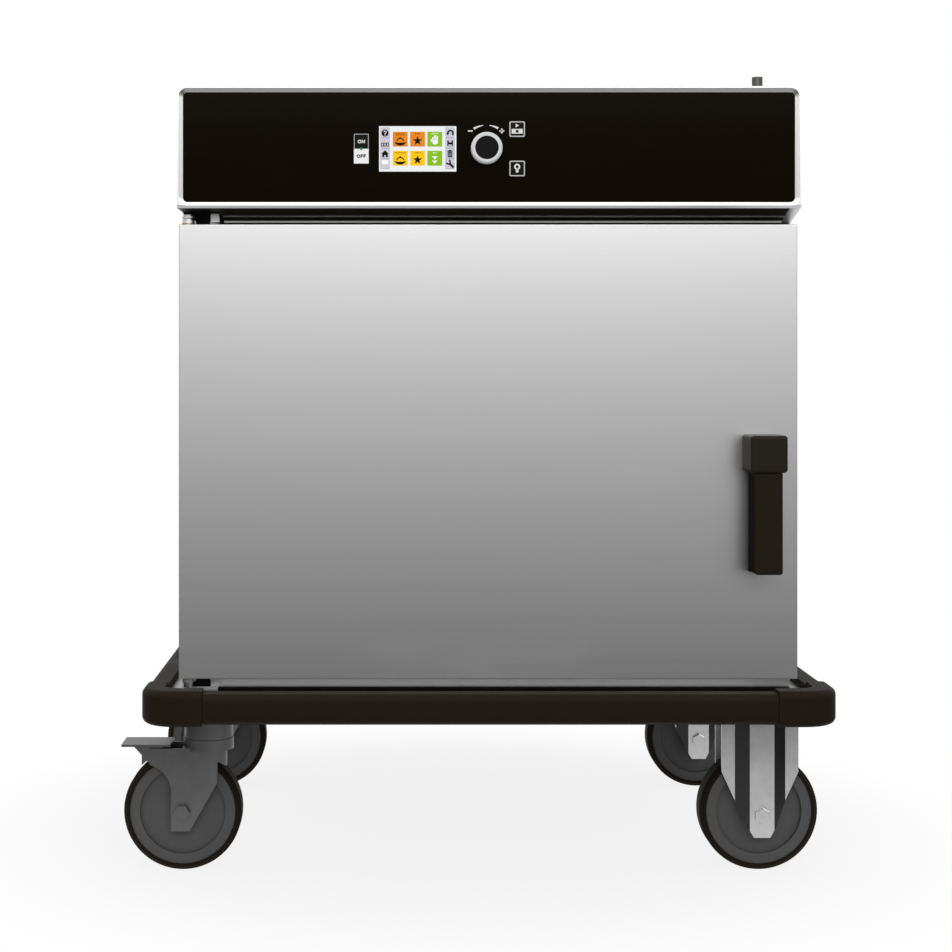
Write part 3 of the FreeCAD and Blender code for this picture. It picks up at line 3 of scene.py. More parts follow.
import bpy
import numpy as np
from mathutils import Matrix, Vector


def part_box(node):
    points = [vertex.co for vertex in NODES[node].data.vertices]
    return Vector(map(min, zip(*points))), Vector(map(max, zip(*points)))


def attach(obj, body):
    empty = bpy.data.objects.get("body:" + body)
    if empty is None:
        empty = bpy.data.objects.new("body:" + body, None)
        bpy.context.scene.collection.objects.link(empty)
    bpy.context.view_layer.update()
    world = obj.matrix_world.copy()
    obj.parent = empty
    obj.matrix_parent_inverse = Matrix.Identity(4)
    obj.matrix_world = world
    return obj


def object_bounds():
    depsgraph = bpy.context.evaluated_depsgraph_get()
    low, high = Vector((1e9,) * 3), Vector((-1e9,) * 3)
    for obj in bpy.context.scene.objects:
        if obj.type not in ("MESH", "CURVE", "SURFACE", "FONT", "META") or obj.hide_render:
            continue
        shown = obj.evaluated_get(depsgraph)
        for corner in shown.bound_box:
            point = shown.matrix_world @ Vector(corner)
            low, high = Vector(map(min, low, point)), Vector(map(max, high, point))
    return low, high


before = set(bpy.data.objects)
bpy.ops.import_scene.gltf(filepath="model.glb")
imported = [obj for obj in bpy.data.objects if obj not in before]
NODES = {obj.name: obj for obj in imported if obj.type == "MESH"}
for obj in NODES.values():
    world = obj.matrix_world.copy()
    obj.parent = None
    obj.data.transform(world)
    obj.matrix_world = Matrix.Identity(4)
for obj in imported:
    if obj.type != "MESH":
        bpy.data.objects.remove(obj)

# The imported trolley, in metres, with the door facing -Y

CAD_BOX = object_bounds()
MM = 0.001


def corners(node):
    """Lowest and highest corner of a CAD node."""
    low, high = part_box(node)
    return np.array(low), np.array(high)


def middle(node):
    """Middle of a CAD node's box."""
    low, high = corners(node)
    return (low + high) / 2


# Shader maths

class Tone:
    """One shader socket: an expression on tones and numbers adds its Math nodes."""

    def __init__(self, recipe, socket):
        self.recipe = recipe
        self.socket = socket

    def maths(self, operation, *values):
        return self.recipe.add("ShaderNodeMath", {"operation": operation}, dict(enumerate(values)))

    def __add__(self, other):
        return self.maths("ADD", self, other)

    def __radd__(self, other):
        return self.maths("ADD", other, self)

    def __sub__(self, other):
        return self.maths("SUBTRACT", self, other)

    def __rsub__(self, other):
        return self.maths("SUBTRACT", other, self)

    def __mul__(self, other):
        return self.maths("MULTIPLY", self, other)

    def __rmul__(self, other):
        return self.maths("MULTIPLY", other, self)

    def __pow__(self, other):
        return self.maths("POWER", self, other)

    def __abs__(self):
        return self.maths("ABSOLUTE", self)

    def sine(self):
        return self.maths("SINE", self)

    def over(self, low, high):
        """Smooth step: 0 below the low value, 1 above the high one."""
        inputs = {"Value": self, "From Min": low, "From Max": high}
        return self.recipe.add("ShaderNodeMapRange", {"interpolation_type": "SMOOTHSTEP"}, inputs)

    def either(self, other):
        """The larger of two masks."""
        return self.maths("MAXIMUM", self, other)

    def output(self, name):
        """Another output of the same node."""
        return Tone(self.recipe, self.socket.node.outputs[name])


class Recipe:
    """The node tree of a material or of the world, being written."""

    def __init__(self, owner):
        owner.use_nodes = True
        self.owner = owner
        self.tree = owner.node_tree
        self.tree.nodes.clear()

    def add(self, kind, settings, inputs):
        """Add a node: its settings first, then each socket's value or link by name or number."""
        node = self.tree.nodes.new(kind)
        for key, value in settings.items():
            setattr(node, key, value)
        for key, value in inputs.items():
            if isinstance(value, Tone):
                self.tree.links.new(value.socket, node.inputs[key])
            else:
                node.inputs[key].default_value = value
        return Tone(self, node.outputs[0] if node.outputs else None)

    def place(self):
        """Object coordinates, in metres."""
        return self.add("ShaderNodeTexCoord", {}, {}).output("Object")

    def axes(self):
        """The x, y and z of the object coordinates."""
        split = self.add("ShaderNodeSeparateXYZ", {}, {0: self.place()})
        return split, split.output("Y"), split.output("Z")

    def noise(self, per_metre, detail=2.0, seed=0.0):
        """Noise from 0 to 1, with one number of features per metre or one for each axis."""
        scale = np.broadcast_to(per_metre, 3).tolist()
        moved = {"Vector": self.place(), "Location": [seed] * 3, "Scale": scale}
        place = self.add("ShaderNodeMapping", {}, moved)
        return self.add("ShaderNodeTexNoise", {}, {"Vector": place, "Scale": 1.0, "Detail": detail})

    def cells(self, per_metre, feature="F1"):
        """Distance to the nearest cell centre or cell edge of a Voronoi pattern."""
        inputs = {"Vector": self.place(), "Scale": per_metre}
        return self.add("ShaderNodeTexVoronoi", {"feature": feature}, inputs)

    def mix(self, mask, under, over):
        """One colour laid over another through a mask."""
        tint = self.add("ShaderNodeMix", {"data_type": "RGBA"}, {0: mask, 6: under, 7: over})
        return Tone(self, tint.socket.node.outputs[2])

    def bump(self, height, strength, depth):
        """Normal of a height pattern, its depth in metres."""
        inputs = {"Height": height, "Strength": strength, "Distance": depth}
        return self.add("ShaderNodeBump", {}, inputs)

    def seen(self):
        """1 on a ray that shows the backdrop: from the camera, mirrored or let through."""
        ray = self.add("ShaderNodeLightPath", {}, {})
        return ray.either(ray.output("Is Glossy Ray")).either(ray.output("Is Transmission Ray"))

    def surface(self, sockets):
        """The finished material: a Principled shader with these sockets."""
        shader = self.add("ShaderNodeBsdfPrincipled", {}, sockets)
        self.add("ShaderNodeOutputMaterial", {}, {"Surface": shader})
        return self.owner


def new_finish(name):
    """Recipe of a new material."""
    return Recipe(bpy.data.materials.new(name))


def shade(value, warmth=0.0):
    """Grey as a colour, with a little red for blue where it is warm."""
    return (value * (1 + warmth), value, value * (1 - warmth), 1.0)


# Finishes: tones and grain, then parts with painted shade, black where they lie in shadow

STEEL_TONE = 0.62
STEEL_ROUGHNESS = 0.3
GRAIN_ALONG = 5.0
GRAIN_ACROSS = 1500.0
FLANK_SHADE_SHARE = 0.07
HAIR = 0.2 * MM
HINGE_X, HINGE_Y = middle("hinge_bushes")[:2]
BOSS_SIDE = 8.5 * MM
BOSS_BACK = 9.0 * MM
BRACKET_TAB = 26.0 * MM
PANEL_HEIGHT = 156.0 * MM
BOX_SHEET = 1.0 * MM
AIR_SLOT_RIGHT = 14.0 * MM
HINGE_POCKET = 54.0 * MM
POCKET_FRONT = 5.0 * MM
POCKET_TOP = 110.0 * MM


def grain_stretch(along):
    """Noise features per metre for a straight grain along x, y or z."""
    return tuple(GRAIN_ALONG if axis == along else GRAIN_ACROSS for axis in "xyz")


def brushed_stainless(name, along, tone=STEEL_TONE, roughness=STEEL_ROUGHNESS):
    """Stainless sheet: fine straight grain, slow changes of sheen and faint wiped smears."""
    recipe = new_finish(name)
    grain = recipe.noise(grain_stretch(along), detail=3.0)
    smear = recipe.noise((3.0, 3.0, 5.0), detail=4.0, seed=7.0)
    cloud = recipe.noise((1.1, 1.1, 0.8), seed=3.0)
    return recipe.surface({
        "Base Color": recipe.mix(grain * 0.7 + cloud * 0.3, shade(tone * 0.95), shade(tone * 1.04)),
        "Metallic": 1.0,
        "Roughness": roughness + (grain - 0.5) * 0.06 + smear.over(0.55, 0.8) * 0.04,
        "Normal": recipe.bump(grain, 0.03, 0.1 * MM),
    })


def hinge_bracket_painted_shade(name):
    """Pressed steel bracket with painted shade: black between the bright boss round its pin and its
    bright tab, where the arm lies in shadow.
    """
    recipe = new_finish(name)
    x, y, _ = recipe.axes()
    across = x - HINGE_X
    foot = (y - HINGE_Y).over(BOSS_BACK, BOSS_BACK + MM)
    beside = across.over(BOSS_SIDE, BOSS_SIDE + MM)
    # dark: painted shade, where the bracket's arm lies in shadow
    dark = beside.either(foot) * (1 - across.over(BRACKET_TAB, BRACKET_TAB + MM))
    grain = recipe.noise(grain_stretch("x"), detail=3.0)
    bright = recipe.mix(grain, shade(0.6), shade(0.7))
    black = recipe.mix(grain, shade(0.008), shade(0.016))
    return recipe.surface({
        "Base Color": recipe.mix(dark, bright, black),
        "Metallic": 1.0,
        "Roughness": 0.28 + dark * 0.2 + (grain - 0.5) * 0.06,
        "Normal": recipe.bump(grain, 0.05, 0.1 * MM),
    })


def steel_with_painted_shade(name, painted):
    """Brushed steel, black where a mask of the place is 1: painted shade where the steel lies in
    shadow.
    """
    recipe = new_finish(name)
    # paint is the painted shade: black in place of the steel
    paint = painted(*recipe.axes())
    grain = recipe.noise(grain_stretch("x"), detail=3.0)
    steel = recipe.mix(grain, shade(0.57), shade(0.63))
    black = recipe.mix(grain, shade(0.006, 0.2), shade(0.01, 0.2))
    return recipe.surface({
        "Base Color": recipe.mix(paint, steel, black),
        "Metallic": 1 - paint,
        "Roughness": 0.32 + paint * 0.24 + (grain - 0.5) * 0.06,
        "Normal": recipe.bump(grain, 0.03, 0.1 * MM),
    })


def shade_under_panel_box(x, y, z):
    """Painted shade on the panel box's sloping underside and its hinge pocket, up to the air slot's
    right end.
    """
    low, high = corners("panel_bezel")
    slope = (high[2] - PANEL_HEIGHT - z).over(-HAIR, HAIR)
    inside = (x - low[0]).over(BOX_SHEET - HAIR, BOX_SHEET)
    inside = inside * (low[0] + HINGE_POCKET - x).over(0.0, HAIR)
    behind = (y - low[1]).over(POCKET_FRONT, POCKET_FRONT + HAIR)
    pocket = inside * behind * (high[2] - z).over(POCKET_TOP, POCKET_TOP + MM)
    return slope.either(pocket) * (high[0] - AIR_SLOT_RIGHT - x).over(0.0, HAIR)


def shade_behind_panel_box(x, y, z):
    """Painted shade on the top of the face frame, above the door."""
    return (z - corners("door_outer_skin")[1][2]).over(0.0, 0.5 * MM)


def heat_stained_steel(name):
    """Steel browned by heat in soft bands that rise along its length."""
    recipe = new_finish(name)
    wave = recipe.axes()[2] * 60.0 + recipe.noise((30.0, 30.0, 8.0)) * 3.0
    band = (wave.sine() + 1.0) * 0.5
    grain = recipe.noise(grain_stretch("z"), detail=3.0)
    return recipe.surface({
        "Base Color": recipe.mix(band * 0.6 + grain * 0.4, shade(0.045, 0.12), shade(0.11, 0.04)),
        "Metallic": 1.0,
        "Roughness": 0.34 + grain * 0.14,
    })


def zinc_plate(name, tone, crest=None):
    """Zinc-plated pressing: flowered crystals, dull patches and a drawn grain.

    Beside a crest, given as its middle and half width in x, the pressed flanks are darkened:
    painted shade.
    """
    recipe = new_finish(name)
    flower = recipe.cells(90.0)
    patch = recipe.noise(25.0, detail=4.0)
    drawn = recipe.noise(grain_stretch("z"), detail=2.0, seed=2.0)
    tint = recipe.mix(flower * 0.5 + patch * 0.5, shade(tone * 0.86), shade(tone * 1.08))
    if crest:
        centre, half = crest
        # painted shade: both pressed sides of the crest darkened to a small share of the tone
        flank_shade = abs(recipe.axes()[0] - centre).over(half - HAIR, half + HAIR)
        tint = recipe.mix(flank_shade, tint, shade(tone * FLANK_SHADE_SHARE))
    return recipe.surface({
        "Base Color": tint,
        "Metallic": 1.0,
        "Roughness": 0.36 + patch * 0.12 + (drawn - 0.5) * 0.06,
        "Normal": recipe.bump(drawn * 0.4 + flower * 0.6, 0.08, 0.15 * MM),
    })


def moulded_black(name, tone, warmth, roughness, pore, back=None, gloss=0.08):
    """Black plastic or rubber: a spark-eroded skin, rubbed patches and pale dust in the pores.

    Where a depth is given, all behind it is darkened: painted shade on the sides of a part that
    stands off its face.
    """
    recipe = new_finish(name)
    skin = recipe.noise(pore, detail=3.0)
    rubbed = recipe.noise((14.0, 14.0, 22.0), detail=4.0, seed=5.0)
    dust = skin.over(0.62, 0.8) * rubbed.over(0.45, 0.7)
    colour = recipe.mix(dust, shade(tone, warmth), shade(tone * 2.0, warmth))
    if back is not None:
        # painted shade: blacker behind the given depth
        behind = (recipe.axes()[1] - back).over(0.0, MM)
        colour = recipe.mix(behind, colour, shade(tone * 0.12, warmth))
    return recipe.surface({
        "Base Color": colour,
        "Roughness": roughness + (skin - 0.5) * 0.16 - rubbed.over(0.55, 0.75) * 0.08,
        "Specular IOR Level": gloss,
        "Normal": recipe.bump(skin, 0.22, 0.25 * MM),
    })


def wheel_polyamide(name):
    """Grey glass-filled moulding with flow marks and fine specks."""
    recipe = new_finish(name)
    speck = recipe.noise(1800.0)
    flow = recipe.noise(40.0, detail=5.0)
    return recipe.surface({
        "Base Color": recipe.mix(flow * 0.6 + speck * 0.4, shade(0.07), shade(0.11)),
        "Roughness": 0.46 + speck * 0.12,
        "Specular IOR Level": 0.25,
        "Normal": recipe.bump(speck, 0.12, 0.2 * MM),
    })


def powder_coat(name, tone):
    """Powder-coated steel with an orange-peel skin and a few rubbed flecks."""
    recipe = new_finish(name)
    peel = recipe.noise(650.0)
    fleck = recipe.noise(220.0, detail=4.0, seed=9.0).over(0.7, 0.78)
    return recipe.surface({
        "Base Color": recipe.mix(fleck, shade(tone), shade(tone * 1.8)),
        "Roughness": 0.42 + peel * 0.14,
        "Normal": recipe.bump(peel, 0.2, 0.3 * MM),
    })


def black_glass(name):
    """Back-printed black glass with a faint film of smears and settled dust."""
    recipe = new_finish(name)
    smear = recipe.noise((9.0, 9.0, 26.0), detail=5.0)
    dust = recipe.noise(2600.0, seed=4.0).over(0.72, 0.8)
    return recipe.surface({
        "Base Color": recipe.mix(dust * 0.5, shade(0.0022, 0.9), shade(0.008)),
        "Roughness": 0.12 + smear.over(0.5, 0.8) * 0.06 + dust * 0.2,
        "Specular IOR Level": 0.02,
    })


def silicone_seal(name):
    """Dark silicone with a talc bloom."""
    recipe = new_finish(name)
    bloom = recipe.noise(35.0, detail=5.0)
    pore = recipe.noise(1200.0)
    return recipe.surface({
        "Base Color": recipe.mix(bloom.over(0.45, 0.75), shade(0.022), shade(0.06)),
        "Roughness": 0.55 + pore * 0.2,
        "Normal": recipe.bump(pore, 0.15, 0.2 * MM),
    })


def mineral_wool(name):
    """Yellowish wool board: crossing fibres in thin layers."""
    recipe = new_finish(name)
    layer = recipe.noise((60.0, 60.0, 900.0), detail=5.0)
    cross = recipe.noise((900.0, 60.0, 400.0), detail=5.0)
    fibre = layer * 0.5 + cross * 0.5
    dark, light = (0.42, 0.34, 0.16, 1.0), (0.78, 0.7, 0.46, 1.0)
    return recipe.surface({
        "Base Color": recipe.mix(fibre.over(0.3, 0.7), dark, light),
        "Roughness": 0.95,
        "Normal": recipe.bump(fibre, 0.7, 1.5 * MM),
    })


def oiled_bronze(name):
    """Sintered bronze with dark oil in its pores."""
    recipe = new_finish(name)
    pore = recipe.noise(900.0, detail=3.0).over(0.35, 0.6)
    return recipe.surface({
        "Base Color": recipe.mix(pore, (0.14, 0.09, 0.04, 1.0), (0.58, 0.42, 0.2, 1.0)),
        "Metallic": 1.0,
        "Roughness": 0.5 - pore * 0.16,
    })


def ferrite(name):
    """Pressed ferrite: dark grains and chipped specks."""
    recipe = new_finish(name)
    chip = recipe.cells(500.0)
    return recipe.surface({
        "Base Color": recipe.mix(chip, shade(0.02), shade(0.09)),
        "Roughness": 0.6 + chip * 0.2,
        "Normal": recipe.bump(chip, 0.2, 0.3 * MM),
    })


def solder_mask(name):
    """Green circuit board with a maze of copper tracks under the mask."""
    recipe = new_finish(name)
    track = recipe.cells(160.0, "DISTANCE_TO_EDGE").over(0.05, 0.09)
    tin = recipe.cells(320.0).over(0.12, 0.16)
    tracks = recipe.mix(track, (0.05, 0.32, 0.12, 1.0), (0.012, 0.12, 0.05, 1.0))
    return recipe.surface({
        "Base Color": recipe.mix(tin, shade(0.6), tracks),
        "Metallic": (1 - tin) * 0.9,
        "Roughness": 0.3 + track * 0.12,
    })


def print_ink(name, colour, glow=0.0):
    """Screen-printed ink of slightly uneven cover, lit from behind where it has a glow."""
    recipe = new_finish(name)
    cover = recipe.noise(1500.0, detail=3.0)
    lighter = tuple(min(1.0, part * 1.08) for part in colour[:3]) + (1.0,)
    tint = recipe.mix(cover, colour, lighter)
    return recipe.surface({
        "Base Color": tint,
        "Roughness": 0.38 + cover * 0.14,
        "Specular IOR Level": 0.08,
        "Emission Color": tint,
        "Emission Strength": glow,
    })


def knob_satin(name, node, face_radius):
    """Knob of two mouldings: a light rim round a dark face with turning rings."""
    recipe = new_finish(name)
    x, _, z = recipe.axes()
    centre = middle(node)
    across = x - centre[0]
    upward = z - centre[2]
    radius = (across * across + upward * upward) ** 0.5
    rim = radius.over(face_radius - HAIR, face_radius + HAIR)
    ring = (radius * 9000.0).sine() * 0.5 + 0.5
    pore = recipe.noise(1600.0)
    dark = recipe.mix(ring, shade(0.003), shade(0.006))
    light = recipe.mix(pore, shade(0.66, -0.02), shade(0.74, -0.02))
    return recipe.surface({
        "Base Color": recipe.mix(rim, dark, light),
        "Roughness": 0.3 + ring * 0.08 + pore * 0.08,
        "Specular IOR Level": 0.06,
        "Normal": recipe.bump(ring * 0.5 + pore * 0.5, 0.08, 0.1 * MM),
    })


def two_tone_rocker(name, node):
    """Rocker moulded black above its middle line and white below, with a faint mould grain."""
    recipe = new_finish(name)
    lower = (middle(node)[2] - recipe.axes()[2]).over(-HAIR / 2, HAIR / 2)
    pore = recipe.noise(900.0, detail=3.0)
    black = recipe.mix(pore, shade(0.006), shade(0.01))
    white = recipe.mix(pore, shade(0.84), shade(0.92))
    return recipe.surface({
        "Base Color": recipe.mix(lower, black, white),
        "Roughness": 0.28 + pore * 0.12,
        "Specular IOR Level": 0.08,
        "Normal": recipe.bump(pore, 0.05, 0.1 * MM),
    })


def lit_screen(name):
    """Lit display: a cool white ground with a fine lattice of pixels and a slightly uneven lamp."""
    recipe = new_finish(name)
    x, _, z = recipe.axes()
    lattice = (x * 20000.0).sine() * (z * 20000.0).sine()
    lamp = recipe.noise((18.0, 18.0, 30.0))
    cool, warm = (0.52, 0.54, 0.56, 1.0), (0.6, 0.61, 0.61, 1.0)
    ground = recipe.mix(lattice * 0.15 + lamp * 0.7, cool, warm)
    return recipe.surface({
        "Base Color": ground,
        "Roughness": 0.12 + lamp * 0.1,
        "Specular IOR Level": 0.1,
        "Emission Color": ground,
        "Emission Strength": 0.62,
    })


def gloss_key(name, tone):
    """Black gloss key with finger smears."""
    recipe = new_finish(name)
    smear = recipe.noise((160.0, 160.0, 260.0), detail=4.0)
    return recipe.surface({
        "Base Color": recipe.mix(smear.over(0.5, 0.75), shade(tone), shade(tone * 2.2)),
        "Roughness": 0.16 + smear.over(0.45, 0.7) * 0.18,
        "Specular IOR Level": 0.06,
    })


# Surfaces

def ring_quads(rows, columns, wrapped=False):
    """Quads of a grid of rings, each point with its neighbours round its ring and on the next ring.

    A wrapped grid also joins the last ring to the first.
    """
    row, column = np.meshgrid(np.arange(rows - 1 + wrapped), np.arange(columns), indexing="ij")
    near = row * columns
    far = (row + 1) % rows * columns
    after = (column + 1) % columns
    quads = [near + column, far + column, far + after, near + after]
    return np.stack(quads, axis=-1).reshape(-1, 4)


def sheet_quads(rows, columns):
    """Quads of an open grid of points."""
    row, column = np.meshgrid(np.arange(rows - 1), np.arange(columns - 1), indexing="ij")
    near = row * columns + column
    return np.stack([near, near + columns, near + columns + 1, near + 1], axis=-1).reshape(-1, 4)


def capped(grid):
    """Shell of a grid of rings, its first and last ring each closed by one face."""
    rows, columns, _ = grid.shape
    ring = np.arange(columns)[None, :]
    faces = [ring, ring_quads(rows, columns), (rows - 1) * columns + ring[:, ::-1]]
    return grid.reshape(-1, 3), faces


def surface_object(name, shells, finish):
    """One mesh object at the origin from shells, each of them points and arrays of faces."""
    starts = np.cumsum([0] + [len(points) for points, _ in shells])
    faces = []
    for (_, arrays), start in zip(shells, starts):
        for rows in arrays:
            faces += (rows + start).tolist()
    mesh = bpy.data.meshes.new(name)
    mesh.from_pydata(np.concatenate([points for points, _ in shells]).tolist(), [], faces)
    mesh.materials.append(finish)
    piece = bpy.data.objects.new(name, mesh)
    bpy.context.scene.collection.objects.link(piece)
    return piece


# Signs printed on the controls

PRINT_RISE = 0.12 * MM
ON_FACE, ON_TILE, ON_SIGN = 1, 2, 3
RING_POINTS = 32


def srgb(red, green, blue):
    """Linear colour of a byte triple as a screen shows it."""
    share = np.array([red, green, blue]) / 255
    linear = np.where(share > 0.04045, ((share + 0.055) / 1.055) ** 2.4, share / 12.92)
    return (*linear.tolist(), 1.0)


def boxed(width, height, radius, centre=(0.0, 0.0)):
    """Rounded rectangle in mm: the points of a circle, each quarter moved out to its own corner."""
    turn = (np.arange(RING_POINTS) + 0.5) * 2 * math.pi / RING_POINTS
    ring = np.stack([np.cos(turn), np.sin(turn)], axis=1)
    reach = np.array([width, height]) / 2 - radius
    return np.array(centre) + np.sign(ring) * reach + radius * ring


def arc(radius, start, stop, centre=(0.0, 0.0), count=RING_POINTS):
    """Points on a circle in mm between two angles in degrees."""
    turn = np.radians(np.linspace(start, stop, count))
    return np.array(centre) + radius * np.stack([np.cos(turn), np.sin(turn)], axis=1)


def disc(radius, centre=(0.0, 0.0)):
    """Full circle in mm as an open list of points."""
    return arc(radius, 0.0, 360.0 * (1 - 1 / RING_POINTS), centre)


def star(radius, centre, waist=0.42):
    """Five-pointed star in mm: ten directions, with every second point drawn in to the waist."""
    turn = np.radians(90 + 36 * np.arange(10))
    reach = radius * np.where(np.arange(10) % 2, waist, 1.0)
    return np.array(centre) + reach[:, None] * np.stack([np.cos(turn), np.sin(turn)], axis=1)


def ribbon(path, width):
    """Outline of a stroke: the path moved to both sides by half its width, which may vary."""
    path = np.array(path, float)
    along = np.gradient(path, axis=0)
    along /= np.linalg.norm(along, axis=1, keepdims=True)
    half = np.broadcast_to(width, len(path))[:, None] / 2
    side = np.stack([-along[:, 1], along[:, 0]], axis=1) * half
    return np.concatenate([path - side, (path + side)[::-1]])


class Stencil:
    """Signs on one face of the controls, gathered by ink: outlines in mm about a node's middle."""

    def __init__(self, name, body, slot, node, face):
        self.name, self.body, self.slot = name, body, slot
        self.centre, self.face = middle(node)[[0, 2]], face
        self.inks = {}

    def rings(self, outline, rise):
        """An outline in metres, on the face and at the ink's front."""
        x, z = (self.centre + np.array(outline) * MM).T
        seat = self.face(x, z)
        return np.stack([x, seat, z], axis=1), np.stack([x, seat - rise, z], axis=1)

    def fill(self, ink, outline, level=ON_FACE):
        """Filled sign: its outline carried from the face to the ink's front, each end one face."""
        outline = np.array(outline, float)
        turned = np.roll(outline, -1, axis=0)
        if np.sum(outline[:, 0] * turned[:, 1] - turned[:, 0] * outline[:, 1]) < 0:
            outline = outline[::-1]
        seat, front = self.rings(outline, level * PRINT_RISE)
        self.inks.setdefault(ink, []).append(capped(np.stack([front, seat])))

    def line(self, ink, path, width, level=ON_FACE):
        """Stroke of one width, or of a width at each point."""
        self.fill(ink, ribbon(path, width), level)

    def frame(self, ink, outer, inner, level=ON_FACE):
        """Closed band between two outlines with as many points: up, across and down again."""
        seat_out, front_out = self.rings(outer, level * PRINT_RISE)
        seat_in, front_in = self.rings(inner, level * PRINT_RISE)
        points = np.concatenate([seat_in, front_in, front_out, seat_out])
        self.inks.setdefault(ink, []).append((points, [ring_quads(4, len(outer), wrapped=True)]))

    def put(self):
        """One piece for each ink, riding on the face's body."""
        for ink, shells in self.inks.items():
            piece = surface_object(self.name + "_" + ink.name, shells, ink)
            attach(piece, self.body)


def level_face(node):
    """Flat front of a CAD node, as a function of place."""
    front = corners(node)[0][1]
    return lambda x, z: np.full(np.shape(x), front)


INK_WHITE = print_ink("white_ink", shade(0.72))
INK_SILVER = print_ink("silver_ink", shade(0.5))
INK_BLACK = print_ink("black_ink", shade(0.004))
INK_GREEN = print_ink("green_lamp", srgb(20, 130, 90), 0.3)
LIT_WHITE = print_ink("lit_white", shade(0.8), 0.2)
LIT_BLACK = print_ink("lit_black", shade(0.004))
LIT_COLUMN = print_ink("lit_column", srgb(200, 198, 209), 0.1)
LIT_EDGE = print_ink("lit_edge", srgb(150, 148, 160), 0.05)
LIT_ORANGE = print_ink("lit_orange", srgb(226, 130, 24), 0.1)
LIT_YELLOW = print_ink("lit_yellow", srgb(246, 196, 6), 0.1)
LIT_LIME = print_ink("lit_lime", srgb(132, 184, 26), 0.1)
LIT_BROWN = print_ink("lit_brown", srgb(120, 62, 20), 0.05)


# The display: six tiles between two columns of small signs

TILE = (19.0, 19.0, 0.7)
TILE_X = (-22.4, -0.2, 21.9)
TILE_Z = (12.4, -12.0)
STAR_RADIUS = 6.2
STAR_DROP = 2.2
DASH = (1.3, 1.0, 0.3)
DASH_PITCH = 1.8
COLUMN = (11.8, 53.4, 0.8)
COLUMN_X = (-41.9, 41.4)
COLUMN_Z = 0.7
CELL = (11.2, 12.8, 0.7)
CELL_HOLE = (10.6, 12.2, 0.5)
CELL_Z = (20.7, 7.4, -6.0, -19.3)


def dashes(stencil, ink, x, z, count):
    """Row of short bars that stands for a caption."""
    for step in range(count):
        place = (x + DASH_PITCH * (step - (count - 1) / 2), z)
        stencil.fill(ink, boxed(*DASH, place), ON_TILE)


def dish_sign(stencil, ink, x, z):
    """Covered dish: a crescent plate under a thin dome with a dot on it."""
    taper = 3.8 * np.sin(np.linspace(0.12, math.pi - 0.12, RING_POINTS))
    stencil.line(ink, arc(12.0, 233, 307, (x, z + 5.6)), taper, ON_TILE)
    stencil.line(ink, arc(4.6, 12, 168, (x, z - 3.6)), 1.3, ON_TILE)
    stencil.fill(ink, disc(1.1, (x, z + 1.6)), ON_TILE)


def hand_sign(stencil, ink, x, z):
    """Open hand: a rounded palm, four fingers fanned over it and a thumb."""
    stencil.fill(ink, boxed(7.2, 6.4, 2.6, (x + 0.4, z - 3.6)), ON_TILE)
    for step, top in enumerate((2.6, 4.6, 5.0, 3.4)):
        foot = x - 2.4 + 1.85 * step
        stencil.line(ink, [(foot, z - 2.5), (foot + 0.35 * (step - 1.5), z + top)], 1.55, ON_TILE)
    stencil.line(ink, [(x - 2.2, z - 5.0), (x - 5.0, z - 0.4)], 1.9, ON_TILE)


def down_sign(stencil, ink, x, z):
    """Two wedges that point down."""
    for top, half in ((2.4, 3.9), (-3.0, 3.5)):
        stencil.fill(ink, [(x - half, z + top), (x, z + top - 4.2), (x + half, z + top)], ON_TILE)


def question_sign(stencil, x, z):
    """Dark disc with a pale hook and a dot."""
    stencil.fill(LIT_BLACK, disc(4.5, (x, z)), ON_TILE)
    hook = np.concatenate([arc(1.5, 170, -70, (x, z + 1.1), 14), [(x, z - 0.9), (x, z - 1.4)]])
    stencil.line(LIT_WHITE, hook, 0.85, ON_SIGN)
    stencil.fill(LIT_WHITE, disc(0.55, (x, z - 2.5)), ON_SIGN)


def boxes_sign(stencil, x, z):
    """Three small trays side by side."""
    for step in (-1, 0, 1):
        centre = (x + 3.5 * step, z)
        outer, inner = boxed(3.3, 5.0, 0.8, centre), boxed(1.7, 3.2, 0.4, centre)
        stencil.frame(LIT_BLACK, outer, inner, ON_TILE)


def house_sign(stencil, x, z):
    """House: a wide roof over a square body with a door left open."""
    roof = [(4.7, -0.2), (0.0, 4.5), (-4.7, -0.2), (-3.6, -0.2), (-3.6, -4.6)]
    step = [(-1.0, -4.6), (-1.0, -2.0), (1.0, -2.0), (1.0, -4.6), (3.6, -4.6), (3.6, -0.2)]
    stencil.fill(LIT_BLACK, np.array(roof + step) + (x, z), ON_TILE)


def back_sign(stencil, x, z):
    """Arrow that turns back on itself."""
    stencil.line(LIT_BLACK, arc(3.3, -45, 190, (x, z - 0.6)), 2.2, ON_TILE)
    stencil.fill(LIT_BLACK, np.array([(-5.6, -0.4), (-1.2, -0.4), (-3.6, -3.6)]) + (x, z), ON_TILE)


def disk_sign(stencil, x, z):
    """Square disk with a pale shutter and a pale label."""
    stencil.fill(LIT_BLACK, boxed(7.4, 7.4, 0.6, (x, z)), ON_TILE)
    stencil.fill(LIT_COLUMN, boxed(3.4, 2.6, 0.2, (x, z + 2.5)), ON_SIGN)
    stencil.fill(LIT_COLUMN, boxed(4.6, 1.5, 0.2, (x, z - 2.4)), ON_SIGN)


def bin_sign(stencil, x, z):
    """Bin with a lid, a handle and three pale ribs."""
    stencil.fill(LIT_BLACK, boxed(6.0, 7.2, 1.2, (x, z - 0.8)), ON_TILE)
    stencil.fill(LIT_BLACK, boxed(7.2, 1.2, 0.5, (x, z + 3.6)), ON_TILE)
    stencil.fill(LIT_BLACK, boxed(2.6, 1.6, 0.6, (x, z + 4.2)), ON_TILE)
    for rib in (x - 1.5, x, x + 1.5):
        stencil.line(LIT_COLUMN, [(rib, z - 3.2), (rib, z + 1.6)], 0.45, ON_SIGN)


